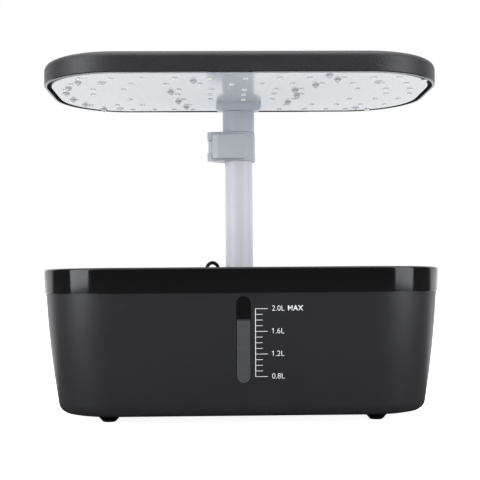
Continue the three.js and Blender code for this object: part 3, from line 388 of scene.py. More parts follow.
def turned_pin(node, chamfer, lying=False):
    """A steel pin with chamfered ends that stands for a node, upright or lying front to back."""
    low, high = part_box(node)
    size = (high - low) / MM
    radius, half = size.x / 2, (size.y if lying else size.z) / 2
    lower = ((radius - chamfer, -half), (radius, chamfer - half))
    upper = ((radius, half - chamfer), (radius - chamfer, half))
    pin = turned(node + "_turned", lower + upper, middle_of(node), 32, lay=UPRIGHT if lying else (0, 0, 0))
    smooth(pin)
    dress(pin, "steel", "steel", BODY_OF[node], node)


def round_profile(radius_centre, height_centre, reach, start, end, steps=6):
    """Profile points along an arc, with the start and end in degrees from the outward direction."""
    angles = [radians(start + (end - start) * step / steps) for step in range(steps + 1)]
    return [(radius_centre + reach * cos(angle), height_centre + reach * sin(angle)) for angle in angles]


def block(name, low, high):
    """A box between two corners in millimetres, ready for shaping."""
    pick()
    bpy.ops.mesh.primitive_cube_add(size=1, location=[(a + b) / 2 * MM for a, b in zip(low, high)])
    piece = new_piece(name)
    piece.scale = [(b - a) * MM for a, b in zip(low, high)]
    settle(piece)
    return piece


def plate(name, middle, size, turn=(0, 0, 0)):
    """One flat face, with its middle and size in metres, ready for shaping."""
    pick()
    bpy.ops.mesh.primitive_plane_add(size=1, location=middle, rotation=turn)
    piece = new_piece(name)
    piece.scale = (size[0], size[1], 1)
    settle(piece)
    return piece


def rounded_slab(name, middle, size, corner, rise):
    """A slab with round corners, drawn up from the middle of its underside, in metres."""
    slab = plate(name, middle, size)
    edit(slab, "VERT")
    bpy.ops.mesh.bevel(offset=corner, segments=40, affect="VERTICES")
    bpy.ops.mesh.select_all(action="SELECT")
    extrude(0, 0, rise)
    leave_edit()
    outward(slab)
    return slab


# Building blocks of finishes

def feed(tree, node, inputs):
    """Sets a node's inputs, or links them where the value is another node's output."""
    for name, value in inputs.items():
        if isinstance(value, bpy.types.NodeSocket):
            tree.links.new(value, node.inputs[name])
        else:
            node.inputs[name].default_value = value


def add_node(tree, kind, inputs=None, **settings):
    node = tree.nodes.new("ShaderNode" + kind)
    for name, value in settings.items():
        setattr(node, name, value)
    feed(tree, node, inputs or {})
    return node


def split(tree, place):
    return add_node(tree, "SeparateXYZ", {"Vector": place}).outputs


def noise(tree, place, scale, detail=2.0, roughness=0.5):
    return add_node(tree, "TexNoise", {
        "Vector": place, "Scale": scale, "Detail": detail, "Roughness": roughness}).outputs["Fac"]


def mapped(tree, source, low, high, start, end):
    """The source's range from low to high, drawn out to the range from start to end."""
    return add_node(tree, "MapRange", {
        "Value": source, "From Min": low, "From Max": high, "To Min": start, "To Max": end}).outputs["Result"]


def mixed(tree, share, first, second):
    return add_node(tree, "Mix", {
        "Factor": share, "A": first, "B": second}, data_type="FLOAT").outputs["Result"]


def combined(tree, operation, first, second):
    """One value worked out from two by the operation."""
    return add_node(tree, "Math", {0: first, 1: second}, operation=operation).outputs[0]


def mirrored_rays(tree, rays):
    """1 for what is seen in a polished face or through a clear one, and otherwise 0."""
    return combined(tree, "MAXIMUM", rays["Is Glossy Ray"], rays["Is Transmission Ray"])


def relief(tree, height, depth):
    return add_node(tree, "Bump", {
        "Height": height, "Strength": 1.0, "Distance": depth}).outputs["Normal"]


def ramp(tree, source, low, high, first, last):
    """A colour ramp from the first colour at low to the last at high."""
    node = add_node(tree, "ValToRGB", {"Fac": source})
    for spot, position, colour in zip(node.color_ramp.elements, (low, high), (first, last)):
        spot.position = position
        spot.color = (*colour, 1)
    return node.outputs["Color"]


def shade(colour, share):
    return tuple(min(1.0, max(0.0, channel * share)) for channel in colour)


# Finishes

def blank_finish(name):
    """The node tree of a new finish, with the piece's own coordinates and the surface shader."""
    finish = bpy.data.materials.new(name)
    finish.use_nodes = True
    tree = finish.node_tree
    place = add_node(tree, "TexCoord").outputs["Object"]
    return tree, place, tree.nodes["Principled BSDF"]


def plastic_finish(name, colour, rough, spread, grain=None, depth=None, deep=1.0, gloss=0.5, clouds=45):
    """Moulded plastic: soft mottling, a fine grain in the surface and an uneven sheen.

    Without a grain and a depth, these come from the settings, the depth times deep.
    """
    look = bpy.context.scene.garden_finishes
    tree, place, surface = blank_finish(name)
    fine = noise(tree, place, grain or 1.0 / look.grain_size, 3.0, 0.6)
    pattern = mixed(tree, 0.6, noise(tree, place, clouds, 4.0, 0.55), fine)
    feed(tree, surface, {
        "Base Color": ramp(tree, pattern, 0.35, 0.65, shade(colour, 1 - spread), shade(colour, 1 + spread)),
        "Roughness": mapped(tree, pattern, 0.35, 0.65, *rough),
        "Normal": relief(tree, fine, depth or look.grain_depth * deep),
        "Specular IOR Level": gloss,
    })


def metal_finish(name, colour, metal, rough, stretch):
    """Metal or silver lacquer with faint lines along the direction in which it was drawn."""
    tree, place, surface = blank_finish(name)
    drawn = add_node(tree, "Mapping", {"Vector": place, "Scale": stretch}).outputs["Vector"]
    lines = noise(tree, drawn, 1.0, 3.0)
    pattern = mixed(tree, 0.6, noise(tree, place, 60.0), lines)
    feed(tree, surface, {
        "Base Color": ramp(tree, pattern, 0.3, 0.7, shade(colour, 0.95), shade(colour, 1.04)),
        "Roughness": mapped(tree, pattern, 0.3, 0.7, *rough),
        "Normal": relief(tree, lines, 6e-6),
        "Metallic": metal,
    })


def painted_shade_window_finish(name, upper, lower, painted_shade_height):
    """Smoked plastic, with painted shade where the deck's skirt stands close behind it and frosted grey
    below.
    """
    tree, place, surface = blank_finish(name)
    cloud = noise(tree, place, 160.0, 3.0)
    height = combined(tree, "ADD", split(tree, place)["Z"], combined(tree, "MULTIPLY", cloud, 0.0006))
    # Painted shade: from this height up, the window takes the dark upper colour.
    share = mapped(tree, height, painted_shade_height - 0.0008, painted_shade_height + 0.0010, 0.0, 1.0)
    feed(tree, surface, {
        "Base Color": ramp(tree, share, 0.0, 1.0, lower, upper),
        "Roughness": mapped(tree, cloud, 0.3, 0.7, 0.22, 0.34),
        "Normal": relief(tree, cloud, 1e-5),
        "Specular IOR Level": 0.35,
    })


def clear_finish(name, tint, rough, clear):
    """Clear or milky resin with faint ripples."""
    tree, place, surface = blank_finish(name)
    ripple = noise(tree, place, 500.0, 1.0)
    feed(tree, surface, {
        "Base Color": ramp(tree, ripple, 0.3, 0.7, shade(tint, 0.94), tint),
        "Roughness": rough,
        "Normal": relief(tree, ripple, 2e-5),
        "Transmission Weight": clear,
        "IOR": 1.45,
    })


# Each finish: its colour or the setting that holds it, and how it differs from its like; most are plastic
RECIPES = {
    "tank_plastic": dict(colour="tank_black", rough=(0.33, 0.43), deep=0.6, spread=0.10, gloss=0.80),
    "lamp_plastic": dict(colour="lamp_black", rough=(0.36, 0.48), deep=4, spread=0.30, gloss=0.73),
    "lamp_rim": dict(colour="lamp_black", rough=(0.10, 0.16), depth=2e-6, spread=0.12, gloss=0.8),
    "deck_gloss": dict(
        colour="deck_black", rough=(0.07, 0.13), grain=220, depth=2e-6, spread=0.12, clouds=20),
    "basket_plastic": dict(
        colour=(0.016, 0.016, 0.017), rough=(0.42, 0.58), grain=1500, depth=2e-5, spread=0.12, gloss=0.4),
    "black_rubber": dict(
        colour=(0.0036, 0.0036, 0.004), rough=(0.70, 0.86), grain=2600, depth=2.5e-5, spread=0.18,
        gloss=0.25),
    "bracket_plastic": dict(
        colour="bracket_grey", rough=(0.34, 0.46), grain=2200, depth=1.2e-5, spread=0.03, gloss=0.6),
    "lever_plastic": dict(
        colour="lever_grey", rough=(0.28, 0.38), grain=2200, depth=1.2e-5, spread=0.03, gloss=0.8),
    "board_white": dict(
        colour="board_white", rough=(0.10, 0.17), grain=420, depth=1.5e-6, spread=0.012, clouds=18),
    "chip_body": dict(colour=(0.90, 0.90, 0.88), rough=(0.3, 0.42), grain=3000, depth=4e-6, spread=0.03),
    "chip_phosphor": dict(
        colour="phosphor", rough=(0.35, 0.5), grain=5000, depth=4e-6, spread=0.06, gloss=0.6),
    "painted_screw": dict(colour=(0.60, 0.62, 0.64), rough=(0.22, 0.34), grain=1800, depth=4e-6, spread=0.05),
    "circuit_board": dict(colour=(0.022, 0.10, 0.042), rough=(0.26, 0.4), grain=1200, depth=1e-5, spread=0.2),
    "printed_white": dict(
        colour="mark_white", rough=(0.5, 0.62), grain=2600, depth=4e-6, spread=0.05, gloss=0.3),
    "silver_tube": dict(
        maker=metal_finish, colour="pole_silver", metal=0.08, rough=(0.44, 0.54), stretch=(900, 900, 12)),
    "steel": dict(
        maker=metal_finish, colour=(0.62, 0.62, 0.61), metal=1.0, rough=(0.22, 0.34),
        stretch=(400, 400, 400)),
    "chip_rim": dict(
        maker=metal_finish, colour=(0.50, 0.51, 0.52), metal=0.2, rough=(0.3, 0.5), stretch=(800, 800, 800)),
    "chip_dome": dict(maker=clear_finish, colour="dome_white", rough=0.28, clear=0.3),
    "smoked_clear": dict(maker=clear_finish, colour=(0.30, 0.31, 0.33), rough=0.12, clear=0.9),
    # The smoked window's first colour is its painted shade above the dividing height; the lower one is its
    # frosted grey.
    "smoked_window": dict(
        maker=painted_shade_window_finish, colour=(0.0025, 0.0022, 0.0028), lower=(0.060, 0.062, 0.069),
        painted_shade_height=0.0677),
}


def finish_named(name):
    """The finish of that name, made the first time that a piece asks for it."""
    full_name = name + "_finish"
    if full_name not in bpy.data.materials:
        recipe = {"maker": plastic_finish, **RECIPES[name]}
        maker, colour = recipe.pop("maker"), recipe.pop("colour")
        if isinstance(colour, str):
            colour = tuple(getattr(bpy.context.scene.garden_finishes, colour))
        maker(full_name, colour, **recipe)
    return bpy.data.materials[full_name]


# Pieces, one operator for each group. Profiles, blocks and named measures are in millimetres,
# and the widths of bevels and insets are in metres

CRISP_EDGE = 0.0003

FEET = ("front_left_foot", "front_right_foot", "rear_left_foot", "rear_right_foot")
FOOT_PROFILE = (
    (3.9, 0.0), (4.15, 0.1), (4.35, 0.28), (7.85, 4.1), (8.2, 4.45), (8.05, 4.6), (2.5, 4.6), (2.5, 6.1),
    (2.2, 6.4),
)


class GARDEN_OT_tank(bpy.types.Operator):
    """Finish the water tank, its window, the window's seal and the four feet"""
    bl_idname = "garden.tank"
    bl_label = "Tank, Window and Feet"

    def execute(self, context):
        finished_copy("tank_shell", "tank_plastic", angle=40)
        # The window's finish paints shade on its upper part, for the skirt behind it.
        finished_copy("water_window", "smoked_window", "smoked_clear", angle=40)
        finished_copy("window_seal", "black_rubber", angle=40)
        foot = turned("foot", FOOT_PROFILE)
        ease(foot, 0.00012, 2, 50)
        smooth(foot, 40)
        set_copies(foot, FEET, "black_rubber", "black_rubber")
        bpy.data.objects.remove(foot)
        return {"FINISHED"}


# Measures of the print in metres, and its labels with their steps down and shifts to the right
PRINT_START = 0.003
PRINT_THICKNESS = 0.00003
FRONT_WALL_LIMIT = -0.05
PITCHES = 12
PITCHES_PER_LONG_MARK = 4
STROKE_WEIGHT = 0.012
LABEL_NARROWING = 0.97
LABELS = ((0, "2.0L", 0.0), (0, "MAX", 0.0102), (4, "1.6L", 0.0006), (8, "1.2L", 0.0006), (12, "0.8L", 0.0))


class GARDEN_OT_scale(bpy.types.Operator):
    """Print the graduated scale beside the window"""
    bl_idname = "garden.scale"
    bl_label = "Printed Scale"

    def lay_on_tank(self, piece):
        """Lays a flat print on the tank's sloping front."""
        wall = bpy.data.objects["tank_shell_finished"]
        modify(piece, "SHRINKWRAP", target=wall, wrap_method="PROJECT", use_project_y=True,
               use_negative_direction=True, use_positive_direction=True, offset=PRINT_THICKNESS)
        if max(corner.co.y for corner in piece.data.vertices) > FRONT_WALL_LIMIT:
            raise RuntimeError("the print missed the tank's front wall")
        return piece

    def flag(self, left, front, top):
        """The short slanting stroke at the top of a printed 1."""
        stroke = plate("flag", (0, 0, 0), (0.0010, 0.00034), UPRIGHT)
        stroke.rotation_euler = (0, -radians(38), 0)
        stroke.location = (left - 0.0002, front, top - 0.0005)
        settle(stroke)
        return stroke

    def marks(self, scale, front):
        """The upright line and its marks, drawn out of one small face."""
        half = scale.mark_width / 2
        marks = plate("scale_marks", (scale.line_x, front, scale.top),
                      (scale.line_width, scale.mark_width), UPRIGHT)
        for step in range(PITCHES):
            bottom = scale.top - half - scale.pitch * step
            edit_edges(marks, lambda a, b: max(a.z, b.z) < bottom + 1e-5)
            extrude(0, 0, scale.mark_width - scale.pitch)
            extrude(0, 0, -scale.mark_width)
        right = scale.line_x + scale.line_width / 2
        for step in range(PITCHES + 1):
            height = scale.top - scale.pitch * step
            edit_edges(marks, lambda a, b: (
                min(a.x, b.x) > right - 1e-5 and abs((a.z + b.z) / 2 - height) < half / 2))
            reach = scale.short_mark if step % PITCHES_PER_LONG_MARK else scale.long_mark
            extrude(reach - scale.line_width / 2, 0, 0)
        leave_edit()
        return self.lay_on_tank(marks)

    def label(self, scale, front, step, words, shift):
        """One number or word, right of the mark that is so many steps down."""
        pick()
        bpy.ops.object.text_add(rotation=UPRIGHT)
        text = bpy.context.object
        text.data.body = words
        text.data.offset = STROKE_WEIGHT if words == "MAX" else -STROKE_WEIGHT
        text.data.resolution_u = 4
        pick(text)
        bpy.ops.object.convert(target="MESH")
        text = new_piece("scale_" + words.replace(".", "_"))
        settle(text)
        own_left = min(corner.co.x for corner in text.data.vertices)
        heights = [corner.co.z for corner in text.data.vertices]
        low, high = min(heights), max(heights)
        size = scale.label_height / (high - low)
        left = scale.label_x + shift
        middle = scale.top + scale.label_lift - scale.pitch * step
        text.scale = (size * LABEL_NARROWING, 1, size)
        text.location = (left - own_left * text.scale[0], front, middle - (low + high) / 2 * size)
        settle(text)
        if words.startswith("1"):
            flag = self.flag(left, front, middle + scale.label_height / 2)
            text = joined([text, flag], text.name)
        return self.lay_on_tank(text)

    def execute(self, context):
        scale = context.scene.garden_scale
        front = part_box("tank_shell")[0].y - PRINT_START
        prints = [self.marks(scale, front)]
        for step, words, shift in LABELS:
            prints.append(self.label(scale, front, step, words, shift))
        whole = joined(prints, "printed_scale")
        modify(whole, "SOLIDIFY", thickness=PRINT_THICKNESS, offset=1.0)
        outward(whole)
        dress(whole, "printed_white", "board_white", "tank")
        return {"FINISHED"}


DECK_CORNER = 52
DECK_BOTTOM = 85.2


class GARDEN_OT_deck(bpy.types.Operator):
    """Finish the planting deck, its filling lid and the lid's pin"""
    bl_idname = "garden.deck"
    bl_label = "Planting Deck"

    def execute(self, context):
        deck = finished_copy("deck", "deck_gloss")
        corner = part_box("deck")[1]
        reach, depth = corner.x / MM - DECK_CORNER, corner.y / MM - DECK_CORNER

        def on_lower_edge(place):
            across, back = max(abs(place.x) / MM - reach, 0), max(abs(place.y) / MM - depth, 0)
            return abs(place.z / MM - DECK_BOTTOM) < 0.02 and abs(hypot(across, back) - DECK_CORNER) < 0.1

        round_edges(deck, lambda a, b: on_lower_edge(a) and on_lower_edge(b), 0.0004, 2)
        smooth(deck)
        finished_copy("fill_lid", "deck_gloss", edge=CRISP_EDGE)
        turned_pin("lid_hinge_pin", 0.25, lying=True)
        return {"FINISHED"}


class GARDEN_OT_baskets(bpy.types.Operator):
    """Model one slotted grow basket and set eight of them in the deck"""
    bl_idname = "garden.baskets"
    bl_label = "Grow Baskets"

    def execute(self, context):
        bottom, top, flange = extent("grow_basket_1")
        throat, wall, foot, hole = 14.9, 1.2, 11.2, 4.5
        seat = top - 1.5
        lip = throat - wall + 0.9
        floor = bottom + wall
        basket = turned("basket", (
            (hole, bottom + 0.2), (hole + 0.2, bottom), (foot - 0.6, bottom), (foot, bottom + 0.5),
            (throat - 0.1, seat - 1.2), (throat, seat - 0.4), (throat, seat), (flange - 0.3, seat),
            (flange, seat + 0.3), *round_profile(flange - 0.7, top - 0.7, 0.7, 0, 90, 5),
            (lip, top), *round_profile(lip, top - 0.9, 0.9, 90, 180, 5)[1:],
            (foot - wall, floor + 0.6), (foot - wall - 0.6, floor), (hole + 0.2, floor),
            (hole, floor - 0.2), (hole, bottom + 0.2),
        ), steps=72, closed=True)
        for turn in range(3):
            slot = block("slot", (-20, -2.2, bottom + 6), (20, 2.2, bottom + 30))
            round_edges(slot, lambda a, b: abs(a.x - b.x) > 0.01, 0.0016, 4)
            cut(slot, block("core", (-hole, -hole, bottom), (hole, hole, top)))
            slot.rotation_euler = (0, 0, pi * (2 * turn + 1) / 6)
            settle(slot)
            cut(basket, slot)
        outward(basket)
        smooth(basket, 38)
        nodes = [f"grow_basket_{number}" for number in range(1, 9)]
        set_copies(basket, nodes, "basket_plastic", "basket_plastic", ending="_moulded")
        bpy.data.objects.remove(basket)
        return {"FINISHED"}


BUTTON_FLANGE_DROP = 2.9
BUTTON_FLANGE_HEIGHT = 1.4
LENS_SHOULDER = 98.3


class GARDEN_OT_controls(bpy.types.Operator):
    """Model the two buttons and the indicator lens, and finish the power inlet and the control board"""
    bl_idname = "garden.controls"
    bl_label = "Buttons, Lens and Inlet"

    def execute(self, context):
        bottom, top, _ = extent("light_button")
        flange_top = top - BUTTON_FLANGE_DROP
        flange_bottom = flange_top - BUTTON_FLANGE_HEIGHT
        button = turned("button", (
            (1.6, bottom), (1.8, bottom + 0.2), (1.8, flange_bottom), (6.1, flange_bottom),
            (6.1, flange_top), (5.0, flange_top), *round_profile(4.4, top - 0.6, 0.6, 0, 90),
            (3.9, top), (3.0, top - 0.12), (1.4, top - 0.22), (0.4, top - 0.24),
        ), steps=64)
        ease(button, 0.0001, 2, 60)
        smooth(button, 40)
        set_copies(button, ("light_button", "pump_button"), "bracket_plastic", "grey_plastic")
        bpy.data.objects.remove(button)
        bottom, top, _ = extent("indicator_lens")
        middle = middle_of("indicator_lens")
        lens = turned("indicator_lens_turned", (
            (2.7, bottom), (2.8, bottom + 0.1), (2.8, LENS_SHOULDER), (2.0, LENS_SHOULDER),
            *round_profile(1.2, top - 0.5, 0.8, 0, 38, 3), (1.0, top - 0.03), (0.4, top),
        ), (middle.x, middle.y, 0))
        smooth(lens, 40)
        dress(lens, "smoked_clear", "smoked_clear", "planting_deck", "indicator_lens")
        finished_copy("power_inlet", "black_rubber", angle=50)
        finished_copy("control_board", "circuit_board")
        return {"FINISHED"}


LEAD_ROUTE = (
    (-8, 52.3, 27), (-8, 55, 27), (-10.992, 57, 34.007), (-19.97, 56, 48.07), (-25.391, 50, 61.006),
    (-25.1, 46.4, 70.022), (-25.1, 46, 76), (-25.1, 46, 88.2), (-25.1, 46, 100.4), (-25.1, 46, 101.62),
    (-24.484, 46.469, 104.51), (-22.8, 47.75, 106.626), (-20.5, 49.5, 107.4), (-18.2, 51.25, 106.626),
    (-16.516, 52.531, 104.51), (-15.9, 53, 101.62), (-15.9, 53, 100.4), (-15.9, 53, 97.25),
    (-15.9, 50.3, 92.25), (-15.9, 41.4, 90.9), (-15.9, 36.3, 90.9),
)
LEAD_RADIUS = 1.35


class GARDEN_OT_pump(bpy.types.Operator):
    """Finish the pump, the dry box's cover, and the pump's and the lamp's leads"""
    bl_idname = "garden.pump"
    bl_label = "Pump and Leads"

    def lead(self):
        """The pump's lead: up through the deck, over in a loop and back in to the control board."""
        line = bpy.data.curves.new("pump_lead_cord", "CURVE")
        line.dimensions = "3D"
        line.resolution_u = 10
        line.bevel_depth = LEAD_RADIUS * MM
        line.bevel_resolution = 6
        line.use_fill_caps = True
        spline = line.splines.new("BEZIER")
        spline.bezier_points.add(len(LEAD_ROUTE) - 1)
        for point, place in zip(spline.bezier_points, LEAD_ROUTE):
            point.co = Vector(place) * MM
            point.handle_left_type = "AUTO"
            point.handle_right_type = "AUTO"
        lead = add_object("pump_lead_cord", line)
        dress(lead, "black_rubber", "black_rubber", "planting_deck", "pump_lead")

    def execute(self, context):
        finished_copy("control_box_cover", "tank_plastic", edge=CRISP_EDGE)
        finished_copy("pump_body", "basket_plastic", "tank_plastic", angle=50)
        finished_copy("pump_cover", "basket_plastic", "tank_plastic", edge=CRISP_EDGE)
        finished_copy("pump_impeller", "bracket_plastic", "grey_plastic", angle=50)
        finished_copy("lead_grommet", "black_rubber", angle=50, edge=CRISP_EDGE)
        self.lead()
        finished_copy("lamp_lead_root", "black_rubber", angle=60)
        coil = frame["nodes"]["lamp_lead_coil"].data
        coil.materials.clear()
        coil.materials.append(finish_named("black_rubber"))
        return {"FINISHED"}


POLE_BACK = 50
TUBE_LIP = 0.25


class GARDEN_OT_pole(bpy.types.Operator):
    """Turn the two tubes of the pole and the guide bush between them"""
    bl_idname = "garden.pole"
    bl_label = "Telescopic Pole"

    def execute(self, context):
        for node, wall, finish, slot in (
            ("outer_tube", 1.2, "silver_tube", "silver_tube"),
            ("inner_tube", 1.0, "silver_tube", "silver_tube"),
            ("guide_bush", 0.95, "bracket_plastic", "grey_plastic"),
        ):
            bottom, top, outer = extent(node)
            inner = outer - wall
            tube = turned(node + "_turned", (
                (outer, bottom + TUBE_LIP), (outer, (bottom + top) / 2), (outer, top - TUBE_LIP),
                (outer - TUBE_LIP, top), (inner + TUBE_LIP, top), (inner, top - TUBE_LIP),
                (inner, bottom + TUBE_LIP), (inner + TUBE_LIP, bottom), (outer - TUBE_LIP, bottom),
                (outer, bottom + TUBE_LIP),
            ), (0, POLE_BACK, 0), steps=96, closed=True)
            smooth(tube)
            dress(tube, finish, slot, BODY_OF[node], node)
        return {"FINISHED"}


LEVER_BEND = -15.6
LEVER_FLAT_START = -9.4
LEVER_VALLEY = 4.15
LEVER_DRAWN_BACK = 0.7
LEVER_PLATE_DEPTH = 2.2


class GARDEN_OT_clamp(bpy.types.Operator):
    """Finish the clamp collar, its pad, pin and lever, and the lamp bracket"""
    bl_idname = "garden.clamp"
    bl_label = "Clamp and Bracket"

    def lever(self):
        """The lever's plate, with its left bend and its valley drawn back a little, and crisp edges."""
        lever = finished_copy("clamp_lever", "lever_plastic")
        plate_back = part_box("clamp_lever")[0].y + LEVER_PLATE_DEPTH * MM
        edit_some(lever, "FACE", lambda face: face.normal.y < -0.95)
        divide(LEVER_FLAT_START)
        for across in (LEVER_BEND, LEVER_VALLEY):
            edit_some(lever, "VERT", lambda corner: (
                abs(corner.co.x / MM - across) < 0.1 and corner.co.y < plate_back))
            bpy.ops.transform.translate(value=(0, LEVER_DRAWN_BACK * MM, 0))
            leave_edit()
        smooth(lever, 5)

    def execute(self, context):
        finished_copy("clamp_collar", "bracket_plastic", "grey_plastic")
        finished_copy("clamp_pad", "black_rubber")
        self.lever()
        finished_copy("lamp_bracket", "bracket_plastic", "grey_plastic")
        turned_pin("lever_pin", 0.3)
        return {"FINISHED"}


BOARD_SCREWS = ("board_screw_1", "board_screw_2", "board_screw_3", "board_screw_4")
SCREW_HOLE = 1.8
SCREW_BOSS = 3.6
LAMP_CORNER = 53.4
LAMP_TOP_ROUND = 4.4
LAMP_RIM = 1.9
LAMP_RIM_BEVEL = 0.6
LAMP_LEDGE_REACH = 7.1
LAMP_LEDGE = 229.9
LAMP_ROOF = 239.2
LAMP_BACK_EDGE = 3
# Half the width of the rim's back middle that gets painted shade.
PAINTED_SHADE_REACH = 55
THINNEST_INSET = 0.02
LEANS_DOWN = -0.3


class GARDEN_OT_lamp(bpy.types.Operator):
    """Model the lamp housing: a shallow tray with a rounded top edge, a rim and a ledge for the board"""
    bl_idname = "garden.lamp"
    bl_label = "Lamp Housing"

    def hollow(self, housing, bottom):
        """Steps the underside inward and up: the rim's bevel, the rim, the ledge and the roof."""
        edit_some(housing, "FACE", lambda face: face.normal.z < FACES_DOWN)
        for inward, up in (
            (LAMP_RIM_BEVEL, -LAMP_RIM_BEVEL), (LAMP_RIM - LAMP_RIM_BEVEL, 0), (0, LAMP_LEDGE - bottom),
            (LAMP_LEDGE_REACH - LAMP_RIM, 0), (0, LAMP_ROOF - LAMP_LEDGE),
        ):
            bpy.ops.mesh.inset(thickness=max(inward, THINNEST_INSET) * MM, depth=-up * MM)
        leave_edit()

    def paint(self, housing, rim_top, back):
        """Makes the rim shiny, and paints shade dark on the step above it and on the rim's back middle; the
        rest is plastic.
        """
        for finish in ("lamp_plastic", "lamp_rim", "black_rubber"):
            housing.data.materials.append(finish_named(finish))
        for face in housing.data.polygons:
            height = face.center.z / MM
            # Painted shade: the rim's back middle near the bracket is dark.
            behind = face.center.y > back and abs(face.center.x) < PAINTED_SHADE_REACH * MM
            if height < rim_top and face.normal.z < LEANS_DOWN and not behind:
                face.material_index = 1
            # Painted shade: the step above the rim takes the darkest black.
            elif height < LAMP_LEDGE + 0.01:
                face.material_index = 2
            else:
                face.material_index = 0

    def execute(self, context):
        low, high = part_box("lamp_housing")
        middle = (low + high) / 2
        bottom, top = low.z / MM, high.z / MM
        start = bottom + LAMP_RIM_BEVEL
        back = high.y - LAMP_BACK_EDGE * MM
        housing = rounded_slab("lamp_housing_moulded", (middle.x, middle.y, start * MM), high - low,
                               LAMP_CORNER * MM, (top - start) * MM)
        round_edges(housing, lambda a, b: min(a.z, b.z) > (top - 0.1) * MM, LAMP_TOP_ROUND * MM, 8)
        self.hollow(housing, bottom)
        for node in BOARD_SCREWS:
            place = middle_of(node)
            screw_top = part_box(node)[1].z / MM
            cut(housing, rod("boss", SCREW_BOSS, LAMP_LEDGE, LAMP_ROOF + 0.4, place), "UNION")
            cut(housing, rod("hole", SCREW_HOLE, LAMP_LEDGE - 1, screw_top + 0.3, place))
        # Divides off the rim's back middle for its painted shade.
        for across in (-PAINTED_SHADE_REACH, PAINTED_SHADE_REACH):
            edit_some(housing, "FACE", lambda face: face.normal.z < LEANS_DOWN and face.center.y > back)
            divide(across)
        smooth(housing, 32)
        self.paint(housing, start, back)
        dress(housing, None, "tank_plastic", "lamp", "lamp_housing")
        return {"FINISHED"}


CHIP_ROWS = (
    (-51.0, (-107, -87, -66, -44, -21, 3, 26, 46, 69, 89, 106)),
    (-44.0, (124,)),
    (-33.0, (-116, -96, -75, -51, -28, -6, 15, 36, 56, 77, 97, 114)),
    (-15.0, (-123, -103, -82, -43, -20, 3, 26, 43, 83, 103, 120)),
    (2.0, (-124, -105, -45, -21, 3, 25, 45, 106, 123)),
    (20.5, (-120, -80, -41, -21, 3, 25, 41, 82, 101, 118)),
    (42.0, (-112, -92, -73, -37, 36, 56, 75, 93, 112)),
    (60.5, (-82, -65, -50, -35, 32, 52, 69, 84, 101)),
)
DOME_PLACES = (
    (-110, -39), (-119, -21), (-123.5, -4), (-122, 19), (-116, 39), (-104, 57), (-49, -7), (-45, 27),
    (-40, 49), (-32, -43), (58, -59), (65, -46), (52, -29), (39, -12), (42, 7), (37, 31),
)
BOARD_FACE = 227.3
BOARD_BACK = 229.6
BOARD_CORNER = 48.3
HOLE_HEIGHTS = (220, 240)
BRACKET_SCREW_HOLES = ((-11.5, 37.9), (11.5, 37.9))
BRACKET_GAP = 0.3
BRACKET_CORNER = 5.3
TERMINAL_REACH = 3.5
TERMINAL_MIDDLE = 50
TERMINAL_TOP = 234.2
CHIP_FRAME = 0.00022
CHIP_WINDOW_SLOPE = 0.0001
CHIP_WINDOW_DEPTH = 0.00012
CHIP_WINDOW_EDGE = 0.00028


